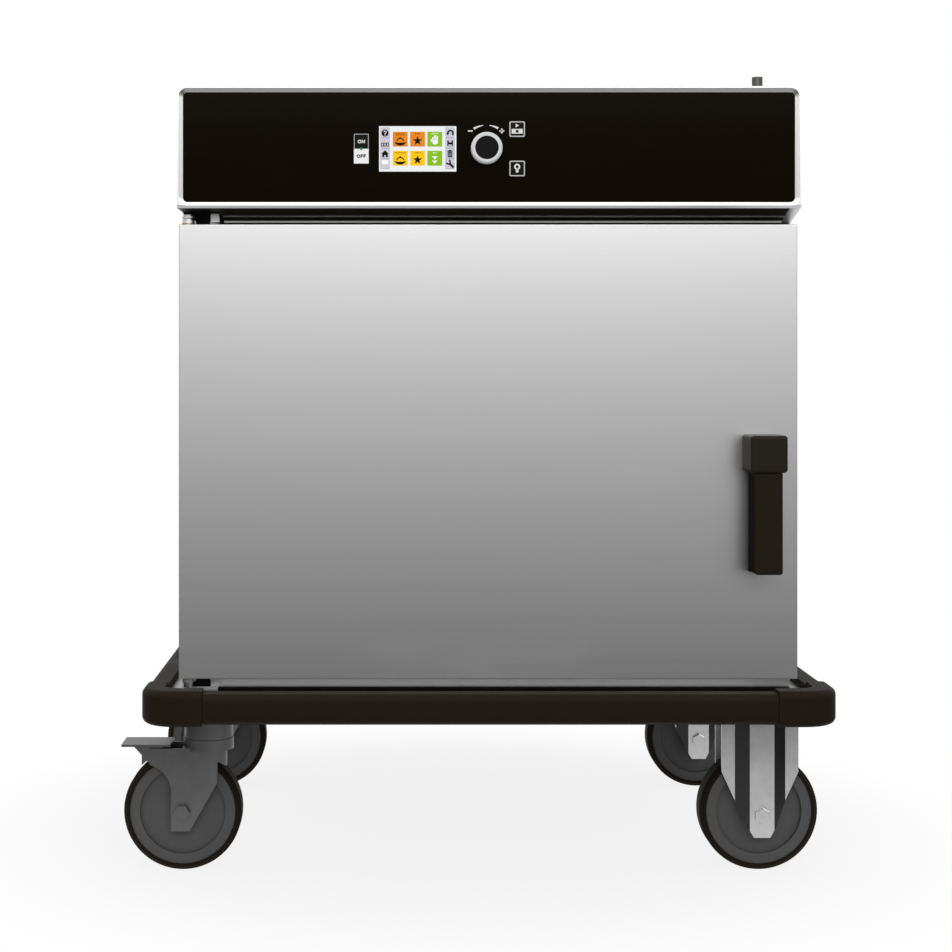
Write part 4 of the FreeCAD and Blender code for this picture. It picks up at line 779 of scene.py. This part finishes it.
def wrench_sign(stencil, x, z):
    """Wrench on the slant with an open jaw."""
    stencil.line(LIT_BLACK, [(x - 1.2, z + 1.2), (x + 4.4, z - 4.4)], 2.9, ON_TILE)
    stencil.line(LIT_BLACK, arc(2.4, 195, 435, (x - 2.4, z + 2.6)), 2.0, ON_TILE)


def display_signs():
    """Everything that the lit display shows."""
    face = level_face("display_screen")
    stencil = Stencil("display", "trolley", "screen", "display_screen", face)
    top, low = TILE_Z
    left, mid, right = TILE_X
    tiles = {LIT_ORANGE: ((left, top), (mid, top)), LIT_YELLOW: ((left, low), (mid, low))}
    tiles[LIT_LIME] = ((right, top), (right, low))
    for ink, places in tiles.items():
        for place in places:
            stencil.fill(ink, boxed(*TILE, place))
    upper, lower = top + 7.0, low + 6.9
    captions = [(left, upper, 6), (left, top + 5.2, 7), (mid, upper, 4)]
    captions += [(left, lower, 8), (mid, lower, 5)]
    for caption in captions:
        dashes(stencil, LIT_BROWN, *caption)
    for caption in ((right, upper, 5), (right, lower, 3)):
        dashes(stencil, LIT_WHITE, *caption)
    for z in TILE_Z:
        dish_sign(stencil, LIT_BLACK, left, z)
        stencil.fill(LIT_BLACK, star(STAR_RADIUS, (mid, z - STAR_DROP)), ON_TILE)
    hand_sign(stencil, LIT_WHITE, right, top)
    down_sign(stencil, LIT_WHITE, right, low)
    for x in COLUMN_X:
        stencil.fill(LIT_COLUMN, boxed(*COLUMN, (x, COLUMN_Z)))
        for z in CELL_Z:
            stencil.frame(LIT_EDGE, boxed(*CELL, (x, z)), boxed(*CELL_HOLE, (x, z)), ON_TILE)
    column = COLUMN_X[0]
    question_sign(stencil, column, CELL_Z[0] - 0.5)
    boxes_sign(stencil, column, CELL_Z[1] - 2.0)
    house_sign(stencil, column, CELL_Z[2] - 0.2)
    stencil.fill(LIT_WHITE, boxed(8.4, 5.4, 0.6, (column, CELL_Z[3] + 2.2)), ON_TILE)
    column = COLUMN_X[1]
    back_sign(stencil, column + 0.6, CELL_Z[0])
    disk_sign(stencil, column + 0.2, CELL_Z[1] - 0.3)
    bin_sign(stencil, column, CELL_Z[2] - 0.4)
    wrench_sign(stencil, column + 0.3, CELL_Z[3] - 0.4)
    stencil.put()


# The knob's arrows, the keys and the rocker

KNOB_ARC = 30.3
KNOB_SWEEPS = ((122, 97), (60, 83))
KNOB_MINUS = (-20.6, 22.8)
KNOB_PLUS = (19.8, 22.8)
KEY_FRAME = 20.0
KEY_LINE = 1.5
ROCKER_DIP = 1.4 * MM
UPPER_WORD = 9.2
LOWER_WORD = -9.6
LETTER_RADIUS = 2.3
LETTER_LINE = 1.15
BORDER_X = 9.0
BORDER_TOP = 18.5
BORDER_LINE = 0.8


def knob_signs():
    """Two tapered arcs over the knob with a minus and a plus at their ends."""
    glass = level_face("panel_glass")
    stencil = Stencil("knob_print", "trolley", "panel_black", "control_knob", glass)
    taper = np.linspace(3.0, 0.5, RING_POINTS)
    for sweep in KNOB_SWEEPS:
        stencil.line(INK_WHITE, arc(KNOB_ARC, *sweep), taper)
    stencil.fill(INK_WHITE, boxed(6.0, 1.7, 0.3, KNOB_MINUS))
    for width, height in ((6.2, 1.9), (1.9, 6.2)):
        stencil.fill(INK_WHITE, boxed(width, height, 0.3, KNOB_PLUS))
    stencil.put()


def key_stencil(name, body, node):
    """Stencil on a key, with the light frame along its edge."""
    stencil = Stencil(name, body, "key_black", node, level_face(node))
    inner = KEY_FRAME - 2 * KEY_LINE
    stencil.frame(INK_SILVER, boxed(KEY_FRAME, KEY_FRAME, 2.2), boxed(inner, inner, 1.0))
    return stencil


def key_signs():
    """Start and stop signs on one key and a bulb on the other."""
    start = key_stencil("start_print", "start_key", "start_stop_key")
    start.fill(INK_WHITE, [(-1.9, 2.2), (2.4, 4.6), (-1.9, 7.0)])
    start.fill(INK_WHITE, boxed(14.2, 6.2, 0.4, (0.0, -2.8)))
    start.fill(INK_BLACK, boxed(3.4, 3.4, 0.2, (0.0, -2.8)), ON_TILE)
    start.put()
    lamp = key_stencil("lamp_print", "lamp_key", "light_key")
    lamp.frame(INK_WHITE, disc(3.9, (0.0, 2.2)), disc(2.0, (0.0, 2.2)))
    lamp.fill(INK_WHITE, [(-2.0, -0.9), (-1.5, -5.2), (1.5, -5.2), (2.0, -0.9)])
    lamp.put()


def letter_o(stencil, ink, x, z):
    """Round letter."""
    stencil.frame(ink, disc(LETTER_RADIUS, (x, z)), disc(LETTER_RADIUS - LETTER_LINE, (x, z)))


def letter_bars(stencil, ink, x, z, bars):
    """Letter of straight bars, each from point to point."""
    for start, end in bars:
        stencil.line(ink, np.array([start, end]) + (x, z), LETTER_LINE)


N_BARS = (((-1.6, -2.2), (-1.6, 2.2)), ((-1.6, 2.0), (1.6, -2.0)), ((1.6, -2.2), (1.6, 2.2)))
F_BARS = (((-1.2, -2.2), (-1.2, 2.2)), ((-1.6, 1.8), (1.5, 1.8)), ((-1.2, 0.1), (1.1, 0.1)))


def rocker_signs():
    """ON and OFF on the two halves, a light border round the dark one and the lamp between them."""
    low, high = corners("on_off_rocker")
    centre = middle("on_off_rocker")
    reach = (high[2] - low[2]) / 2

    def vee(x, z):
        """Front of the rocker, which dips towards its middle line."""
        return low[1] + ROCKER_DIP * (1 - np.abs(z - centre[2]) / reach)

    stencil = Stencil("rocker_print", "rocker", "rocker_black", "on_off_rocker", vee)
    letter_o(stencil, INK_WHITE, -2.3, UPPER_WORD)
    letter_bars(stencil, INK_WHITE, 2.6, UPPER_WORD, N_BARS)
    letter_o(stencil, INK_BLACK, -3.6, LOWER_WORD)
    for x in (0.9, 4.6):
        letter_bars(stencil, INK_BLACK, x, LOWER_WORD, F_BARS)
    for side in (-BORDER_X, BORDER_X):
        stencil.line(INK_SILVER, [(side, 0.4), (side, BORDER_TOP + 0.1)], BORDER_LINE)
    end = BORDER_X + BORDER_LINE / 2
    stencil.line(INK_SILVER, [(-end, BORDER_TOP), (end, BORDER_TOP)], BORDER_LINE)
    stencil.fill(INK_GREEN, disc(1.8), ON_TILE)
    stencil.put()


display_signs()
knob_signs()
key_signs()
rocker_signs()


# Dressing of the CAD nodes

KNOB_FACE_RADIUS = 15.0 * MM
LEVER_UNSHADED_FRONT = 4.0 * MM
LEFT_PLACES = ("front_left", "rear_left")
RIGHT_PLACES = ("front_right", "rear_right")
WHEEL_PLACES = LEFT_PLACES + RIGHT_PLACES


def dress(finish, *names):
    """Give the named CAD nodes a finish."""
    for name in names:
        mesh = NODES[name].data
        mesh.materials.clear()
        mesh.materials.append(finish)


def each(places, piece):
    """Names of one piece at several places."""
    return [place + "_" + piece for place in places]


CASE_STEEL = brushed_stainless("case_steel", "z")
FRONT_STEEL = brushed_stainless("front_steel", "x", tone=0.6, roughness=0.32)
INNER_STEEL = brushed_stainless("inner_steel", "z", tone=0.58, roughness=0.42)
HINGE_STEEL = brushed_stainless("hinge_steel", "x", tone=0.66, roughness=0.28)
# A darker copy of the stainless: painted shade for the deck under the door and the rail in the air
# slot
DECK_STEEL_SHADED = brushed_stainless("deck_steel_shaded", "x", tone=0.28, roughness=0.34)
ZINC = zinc_plate("zinc_plate", 0.58)
FORK_ZINC = zinc_plate("fork_zinc", 0.13)
BUMPER_PLASTIC = moulded_black("bumper_plastic", 0.0085, 0.5, 0.62, 900.0)
# The lever is darkened behind its front: painted shade on its sides
LEVER_SHADE_DEPTH = corners("handle_lever")[0][1] + LEVER_UNSHADED_FRONT
LEVER_PLASTIC_SHADED = moulded_black("lever_plastic_shaded_sides", 0.014, 0.3, 0.5, 1300.0, LEVER_SHADE_DEPTH, gloss=0.008)
TYRE_RUBBER = moulded_black("tyre_rubber", 0.008, 0.45, 0.68, 700.0)

dress(brushed_stainless("door_steel", "x"), "door_outer_skin")
dress(brushed_stainless("top_steel", "x", tone=0.42, roughness=0.5), "top_panel")
dress(CASE_STEEL, "left_side_panel", "right_side_panel", "back_panel")
dress(FRONT_STEEL, "bottom_panel")
# Face frame and panel box: steel with painted shade where they lie in shadow
dress(steel_with_painted_shade("face_frame_steel_shaded", shade_behind_panel_box), "front_frame")
dress(steel_with_painted_shade("panel_box_steel_shaded", shade_under_panel_box), "panel_bezel")
dress(INNER_STEEL, "inner_chamber", "door_inner_pan", "fan_baffle", "fan_wheel")
dress(INNER_STEEL, "left_tray_rack", "right_tray_rack")
dress(hinge_bracket_painted_shade("hinge_bracket_painted_shade"), "door_hinges")
dress(HINGE_STEEL, "strike_plate")
dress(heat_stained_steel("heat_stained_steel"), "vent_pipe", "heating_element")
dress(ZINC, "right_axles", *each(RIGHT_PLACES, "fork"))
for part in ("fork", "axle", "brake_pedal", "caster_plate"):
    dress(FORK_ZINC, *each(LEFT_PLACES, part))
dress(DECK_STEEL_SHADED, "base_deck")
dress(powder_coat("frame_coat", 0.022), "base_frame", "fan_motor")
dress(BUMPER_PLASTIC, "bumper_corners", *each(("front", "rear", "left", "right"), "bumper"))
dress(moulded_black("handle_plastic", 0.014, 0.3, 0.42, 1300.0), "handle_head", "power_inlet")
dress(LEVER_PLASTIC_SHADED, "handle_lever")
dress(TYRE_RUBBER, *each(WHEEL_PLACES, "tyre"))
dress(wheel_polyamide("wheel_grey"), *each(WHEEL_PLACES, "wheel"))
dress(black_glass("panel_glass"), "panel_glass")
dress(silicone_seal("door_seal"), "door_gasket")
dress(mineral_wool("mineral_wool"), "insulation", "door_insulation")
dress(oiled_bronze("oiled_bronze"), "hinge_bushes")
dress(ferrite("ferrite"), "magnet_catch")
dress(solder_mask("solder_mask"), "control_board")
dress(knob_satin("knob_satin", "control_knob", KNOB_FACE_RADIUS), "control_knob")
dress(two_tone_rocker("two_tone_rocker", "on_off_rocker"), "on_off_rocker")
dress(lit_screen("lit_screen"), "display_screen")
dress(gloss_key("gloss_key", 0.004), "start_stop_key", "light_key")


# Fasteners, fork ribs, the sill strip, louvre hoods and the air slot under the panel; the ribs'
# flanks, the sill strip and the slot's black strip are painted shade

SCREW_RADIUS = 5.0 * MM
SCREW_HEIGHT = 2.4 * MM
SCREW_EDGE = 0.2 * MM
SCREW_INSET = 11.0 * MM
SCREW_ROWS = 6
BOLT_RADIUS = 7.0 * MM
BOLT_HEIGHT = 5.0 * MM
WASHER_RADIUS = 9.0 * MM
WASHER_HEIGHT = 1.4 * MM
PLATE_SHEET = 4.0 * MM
CASTER_BOLTS = ((-29.0 * MM, 29.0 * MM), (-45.0 * MM, 45.0 * MM))
FORK_BOLTS = ((-38.0 * MM, 28.0 * MM), (-47.0 * MM, 47.0 * MM))
FORK_EDGE_X = np.array([11.0, 18.0, 52.0]) * MM
FORK_EDGE_Z = np.array([49.0, 61.0, 135.0]) * MM
RIB_FLAT = 16.5 * MM
RIB_FOOT = 34.0 * MM
RIB_DEPTH = 14.0 * MM
RIB_TOP = 215.0 * MM
RIB_EDGE = 0.4 * MM
AXLE_OVER_CHEEK = 13.0 * MM
AXLE_HEAD_RADIUS = 10.78 * MM
AXLE_HEAD_TIP = 9.38 * MM
SILL_DEPTH = 15.0 * MM
SILL_HEIGHT = 3.2 * MM
SILL_INSET = 46.0 * MM
PIN_WASHER_RADIUS = 8.5 * MM
PIN_WASHER_HEIGHT = 3.4 * MM
PIN_WASHER_DROP = 5.4 * MM
HOOD_HALF = 49.0 * MM
HOOD_DEPTH = 6.0 * MM
HOOD_HEIGHT = 9.5 * MM
HOOD_SHEET = 0.8 * MM
HOOD_POINTS = 25
SLOT_X = 180.0 * MM
SLOT_HALF = 45.0 * MM
PANEL_TOE = 4.0 * MM
AIR_SLOT_LEFT = 56.0 * MM
AIR_SLOT_SPAN = (0.02, 0.97)
AIR_SLOT_RISE = 0.4 * MM
AIR_RIB_SPAN = (0.46, 0.54)
AIR_RIB_RISE = 1.4 * MM
AIR_RAIL_SPAN = (0.78, 0.97)

# Zinc for the fork ribs, with painted shade on the ribs' flanks
RIB_ZINC_SHADED = zinc_plate("rib_zinc_shaded_flanks", 0.58, (middle("front_right_wheel")[0], RIB_FLAT))


def turned(profile, centres, axis, sides):
    """Shells of a profile turned round an axis at each centre.

    Point = centre + r (u cos a + v sin a) + h axis, for each (r, h) from the tip outwards and down.
    """
    radius, height = np.array(profile).T[:, :, None, None]
    angle = np.linspace(0.0, 2 * math.pi, sides, endpoint=False)[None, :, None]
    axis = np.array(axis, float)
    across = np.roll(axis, 1)
    ring = across * np.cos(angle) + np.cross(axis, across) * np.sin(angle)
    return [capped(np.array(centre) + radius * ring + height * axis) for centre in centres]


def extruded(profile, left, right):
    """Shell of a closed (y, z) profile, counter-clockwise as seen from +x, carried along x."""
    side = np.insert(np.array(profile), 0, 0.0, axis=1)
    ends = np.array([[right, 0.0, 0.0], [left, 0.0, 0.0]])
    return capped(ends[:, None, :] + side[None, :, :])


def put(name, shells, finish):
    """A new piece on the trolley's body."""
    piece = surface_object(name, shells, finish)
    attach(piece, "trolley")
    return piece


def back_screws():
    """Button-head screws round the edge of the back, each a dome with a sunk socket."""
    low, high = corners("back_panel")
    rows = np.linspace(low[2] + SCREW_INSET, high[2] - SCREW_INSET, SCREW_ROWS)
    left, right = low[0] + SCREW_INSET, high[0] - SCREW_INSET
    places = [(x, high[1], z) for z in rows for x in (left, right)]
    columns = np.linspace(left, right, 4)[1:-1]
    places += [(x, high[1], z) for x in columns for z in (rows[0], rows[-1])]
    share = np.array([0.36, 0.38, *np.linspace(0.42, 1.0, 6), 1.0])
    height = SCREW_HEIGHT * (1 - share ** 3) + SCREW_EDGE
    height[[0, 1, -1]] = SCREW_HEIGHT * np.array([0.35, 0.95, 0.0])
    profile = np.stack([SCREW_RADIUS * share, height], axis=1)
    put("back_screws", turned(profile, places, (0, 1, 0), 24), HINGE_STEEL)


def plate_bolts():
    """Hexagon bolts with washers under the four caster plates."""
    plates = [(name, CASTER_BOLTS) for name in each(LEFT_PLACES, "caster_plate")]
    plates += [(name, FORK_BOLTS) for name in each(RIGHT_PLACES, "fork")]
    places = []
    for name, (columns, lines) in plates:
        x, y, _ = middle(name)
        top = corners(name)[1][2] - PLATE_SHEET
        places += [(x + dx, y + dy, top) for dx in columns for dy in lines]
    head = [(BOLT_RADIUS * 0.86, BOLT_HEIGHT + WASHER_HEIGHT)]
    head += [(BOLT_RADIUS, BOLT_HEIGHT), (BOLT_RADIUS, 0.0)]
    washer = [(WASHER_RADIUS * 0.94, WASHER_HEIGHT)]
    washer += [(WASHER_RADIUS, WASHER_HEIGHT * 0.7), (WASHER_RADIUS, 0.0)]
    shells = turned(head, places, (0, 0, -1), 6) + turned(washer, places, (0, 0, -1), 24)
    put("plate_bolts", shells, ZINC)


def fork_ribs():
    """Deep pressed ribs on both cheeks of the fixed forks, with the heads of their axle bolts.

    At a height z the rib stands d (foot - |u|) / (foot - flat) proud at u across it, d at most,
    and it ends where the cheek itself ends, at |u| = edge(z).
    """
    turns = np.interp([RIB_FOOT, RIB_FLAT], FORK_EDGE_X, FORK_EDGE_Z)
    rows = np.array([RIB_TOP, turns[0], FORK_EDGE_Z[1], turns[1], FORK_EDGE_Z[0]])
    reach = np.minimum(np.interp(rows, FORK_EDGE_Z, FORK_EDGE_X), RIB_FOOT)
    flat = np.minimum(reach - RIB_EDGE, RIB_FLAT)
    rim = RIB_DEPTH * np.clip((RIB_FOOT - reach) / (RIB_FOOT - RIB_FLAT), 0.03, 0.97)
    root, full = np.full(len(rows), -MM), np.full(len(rows), RIB_DEPTH)
    across = np.stack([-reach, -reach, -flat, flat, reach, reach], axis=1)
    proud = np.stack([root, rim, full, full, rim, root], axis=1)
    cheek = middle("front_right_fork")[1] - corners("right_axles")[0][1] - AXLE_OVER_CHEEK
    height = np.broadcast_to(rows[:, None], across.shape)
    head = [(AXLE_HEAD_TIP, BOLT_HEIGHT)]
    head += [(AXLE_HEAD_RADIUS, BOLT_HEIGHT * 0.8), (AXLE_HEAD_RADIUS, 0.0)]
    shells = []
    for place in RIGHT_PLACES:
        x, _, axle = middle(place + "_wheel")
        y = middle(place + "_fork")[1]
        for side in (1, -1):
            grid = [x + side * across, y - side * (cheek + proud), height]
            shells.append(capped(np.stack(grid, axis=-1)))
            centre = (x, y - side * (cheek + RIB_DEPTH), axle)
            shells += turned(head, [centre], (0, -side, 0), 6)
    put("fork_ribs", shells, RIB_ZINC_SHADED)


def sill_shade_strip():
    """Black rubber strip along the foot of the face frame, its front rounded down to the deck:
    painted shade where the gap above the deck lies in shadow.
    """
    low, high = corners("front_frame")
    back, foot = low[1], corners("base_deck")[1][2]
    turn = np.linspace(0.0, math.pi / 2, 7)
    curve = [back - SILL_DEPTH * np.sin(turn), foot + SILL_HEIGHT * np.cos(turn)]
    profile = np.concatenate([np.stack(curve, axis=1), [[back, foot]]])
    strip = extruded(profile, low[0] + SILL_INSET, high[0])
    # the strip is painted shade, in tyre rubber
    put("sill_shade_strip", [strip], TYRE_RUBBER)


def pin_washer():
    """Washer round the upper hinge pin's head."""
    seat = corners("door_hinges")[1][2] - PIN_WASHER_DROP - PIN_WASHER_HEIGHT
    edge = PIN_WASHER_RADIUS * 0.9
    profile = [(edge, PIN_WASHER_HEIGHT), (PIN_WASHER_RADIUS, PIN_WASHER_HEIGHT * 0.75)]
    profile += [(PIN_WASHER_RADIUS, PIN_WASHER_HEIGHT * 0.25), (edge, 0.0)]
    shells = turned(profile, [(HINGE_X, HINGE_Y, seat)], (0, 0, 1), 32)
    put("pin_washer", shells, HINGE_STEEL)


def louvre_hoods():
    """Pressed hoods over the slots in the back, open below, that fade into the sheet at both ends.

    At s from -1 to 1 along a slot and t from 0 at the lip to 1 at the root:
    x = middle + half s, y = back + depth (1 - s^4) cos(pi t / 2), z = slot + height (t - 1/2).
    """
    points = np.empty((len(NODES["back_panel"].data.vertices), 3))
    NODES["back_panel"].data.vertices.foreach_get("co", points.ravel())
    centre, (_, high) = middle("back_panel"), corners("back_panel")
    near_slot = np.abs(np.abs(points[:, 0] - centre[0]) - SLOT_X) < SLOT_HALF + MM
    edges = np.unique(points[near_slot, 2].round(4))[1:-1].reshape(-1, 2)
    along = np.linspace(-1.0, 1.0, HOOD_POINTS)[None, :]
    over = np.linspace(0.0, 1.0, 9)[:, None]
    reach = HOOD_DEPTH * (1 - along ** 4) * np.cos(math.pi * over / 2)
    grid = np.broadcast_arrays(HOOD_HALF * along, reach, HOOD_HEIGHT * (over - 0.5))
    hood = np.stack(grid, axis=-1)
    quads = sheet_quads(*hood.shape[:2])
    columns, rows = centre[0] + SLOT_X * np.array([-1, 1]), edges.mean(axis=1)
    places = [(x, high[1], z) for x in columns for z in rows]
    shells = [((hood + place).reshape(-1, 3), [quads]) for place in places]
    piece = put("louvre_hoods", shells, CASE_STEEL)
    wall = piece.modifiers.new("wall", "SOLIDIFY")
    wall.thickness = HOOD_SHEET


def air_slot():
    """Air slot under the panel box's slope, a black strip of painted shade for its dark inside,
    with a steel rib and an upright rail along it.

    Each span is two shares of the slope, from its toe to its back.
    """
    low, high = corners("panel_bezel")
    toe = np.array([low[1] + PANEL_TOE, high[2] - PANEL_HEIGHT])
    back = np.array([high[1], low[2]])
    slope = back - toe
    proud = np.array([slope[1], -slope[0]]) / np.linalg.norm(slope)
    left, right = low[0] + AIR_SLOT_LEFT, high[0] - AIR_SLOT_RIGHT

    def strip(span, rise):
        """Flat bar on the slope."""
        foot, end = (toe + share * slope for share in span)
        return extruded([foot, foot + rise * proud, end + rise * proud, end], left, right)

    above, below = (toe + share * slope for share in AIR_RAIL_SPAN)
    rail = extruded([above, np.array([above[0], below[1]]), below], left, right)
    # the black strip is painted shade, where the slot lies in shadow
    put("air_slot", [strip(AIR_SLOT_SPAN, AIR_SLOT_RISE)], BUMPER_PLASTIC)
    put("air_slot_rib", [strip(AIR_RIB_SPAN, AIR_RIB_RISE)], FRONT_STEEL)
    put("air_slot_rail", [rail], DECK_STEEL_SHADED)


back_screws()
plate_bolts()
fork_ribs()
sill_shade_strip()
pin_washer()
louvre_hoods()
air_slot()


# Studio

FLOOR_RADIUS = 0.85
FLOOR_FADE = (0.55 * FLOOR_RADIUS, 0.98 * FLOOR_RADIUS)
FLOOR_GLOW = 0.85
FLOOR_RINGS = 40
FLOOR_SIDES = 128
SKY_FILL = 0.5
BACKDROP_EDGE = (0.45, 0.8)
FRONT_EDGE = (0.3, 0.7)
ROOM_RISE = (-0.15, 0.07)
ROOM_STEEP = (0.45, 0.75)
ROOM_FRONT = 0.02
ROOM_SIDE = 0.01
ROOM_HIGH = 1.0
ROOM_FLOOR = 0.8
SIDE_LIFT = 0.06
LAMP_TARGET = (0.0, 0.0, 0.6)
CAMERA_PLACE = (-0.10975, -2.749, 0.678)
CAMERA_LENS = 69.17
CAMERA_SENSOR = 36.0
CAMERA_SHIFT = (0.0945, -0.111)


def studio_floor():
    """Pale disc on the ground, a grid of radius and angle, that fades into the backdrop."""
    radius = np.linspace(0.0, FLOOR_RADIUS, FLOOR_RINGS)[:, None]
    angle = np.linspace(0.0, 2 * math.pi, FLOOR_SIDES, endpoint=False)[None, :]
    ground = np.full((FLOOR_RINGS, FLOOR_SIDES), CAD_BOX[0][2])
    points = np.stack([radius * np.cos(angle), radius * np.sin(angle), ground], axis=-1)
    recipe = new_finish("studio_floor")
    x, y, _ = recipe.axes()
    fade = ((x * x + y * y) ** 0.5).over(*FLOOR_FADE)
    glow = recipe.seen() * (fade * (1 - FLOOR_GLOW) + FLOOR_GLOW)
    grey = recipe.mix(recipe.noise(40.0), shade(0.7), shade(0.74))
    paint = recipe.add("ShaderNodeBsdfDiffuse", {}, {"Color": grey})
    white = recipe.add("ShaderNodeEmission", {}, {"Color": shade(1.0)})
    blend = recipe.add("ShaderNodeMixShader", {}, {0: glow, 1: paint, 2: white})
    recipe.add("ShaderNodeOutputMaterial", {}, {"Surface": blend})
    shell = (points.reshape(-1, 3), [ring_quads(FLOOR_RINGS, FLOOR_SIDES)])
    surface_object("studio_floor", [shell], recipe.owner)


def studio_world():
    """White backdrop behind the trolley, a room that is dark below, and an even fill.

    A ray's direction tells what it meets, and the room is darkest at its sides.
    """
    world = bpy.data.worlds.new("studio")
    bpy.context.scene.world = world
    recipe = Recipe(world)
    look = recipe.add("ShaderNodeTexCoord", {}, {})
    split = recipe.add("ShaderNodeSeparateXYZ", {}, {0: look})
    y, z = split.output("Y"), split.output("Z")
    behind = y.over(*BACKDROP_EDGE)
    front = (y * -1.0).over(*FRONT_EDGE)
    low = front * (ROOM_FRONT - ROOM_SIDE) + ROOM_SIDE
    rise = (z - (1 - front) * SIDE_LIFT).over(*ROOM_RISE)
    steep = (z * -1.0).over(*ROOM_STEEP)
    room = low + rise * (ROOM_HIGH - low) + steep * ROOM_FLOOR
    ray = recipe.add("ShaderNodeLightPath", {}, {})
    shown = ray.either(behind + (1 - behind) * room)
    seen = recipe.seen()
    strength = seen * shown + (1 - seen) * SKY_FILL
    inputs = {"Color": shade(1.0), "Strength": strength}
    backdrop = recipe.add("ShaderNodeBackground", {}, inputs)
    recipe.add("ShaderNodeOutputWorld", {}, {"Surface": backdrop})


def softbox(name, place, target, size, watts):
    """Rectangular area light turned to face a point."""
    lamp = bpy.data.lights.new(name, "AREA")
    lamp.shape = "RECTANGLE"
    lamp.size, lamp.size_y = size
    lamp.energy = watts
    holder = bpy.data.objects.new(name, lamp)
    holder.location = place
    aim = Vector(target) - Vector(place)
    holder.rotation_euler = aim.to_track_quat("-Z", "Y").to_euler()
    bpy.context.scene.collection.objects.link(holder)


def photograph_camera():
    """Level camera at the photograph's place, its lens and sensor in mm."""
    lens = bpy.data.cameras.new("camera")
    lens.lens = CAMERA_LENS
    lens.sensor_width = CAMERA_SENSOR
    lens.shift_x, lens.shift_y = CAMERA_SHIFT
    holder = bpy.data.objects.new("camera", lens)
    holder.location = CAMERA_PLACE
    holder.rotation_euler = (math.pi / 2, 0.0, 0.0)
    bpy.context.scene.collection.objects.link(holder)
    bpy.context.scene.camera = holder


studio_floor()
studio_world()
softbox("front_softbox", (0.2, -3.3, 2.0), LAMP_TARGET, size=(3.4, 1.2), watts=35.5)
softbox("left_softbox", (-2.4, -0.6, 2.4), LAMP_TARGET, size=(1.2, 1.2), watts=8.0)
softbox("right_softbox", (2.4, -0.6, 2.4), LAMP_TARGET, size=(1.2, 1.2), watts=8.0)
softbox("top_softbox", (0.0, -1.7, 2.8), (0.0, -0.2, 0.8), size=(2.0, 1.0), watts=12.0)
photograph_camera()
bpy.context.scene.view_settings.view_transform = "Standard"
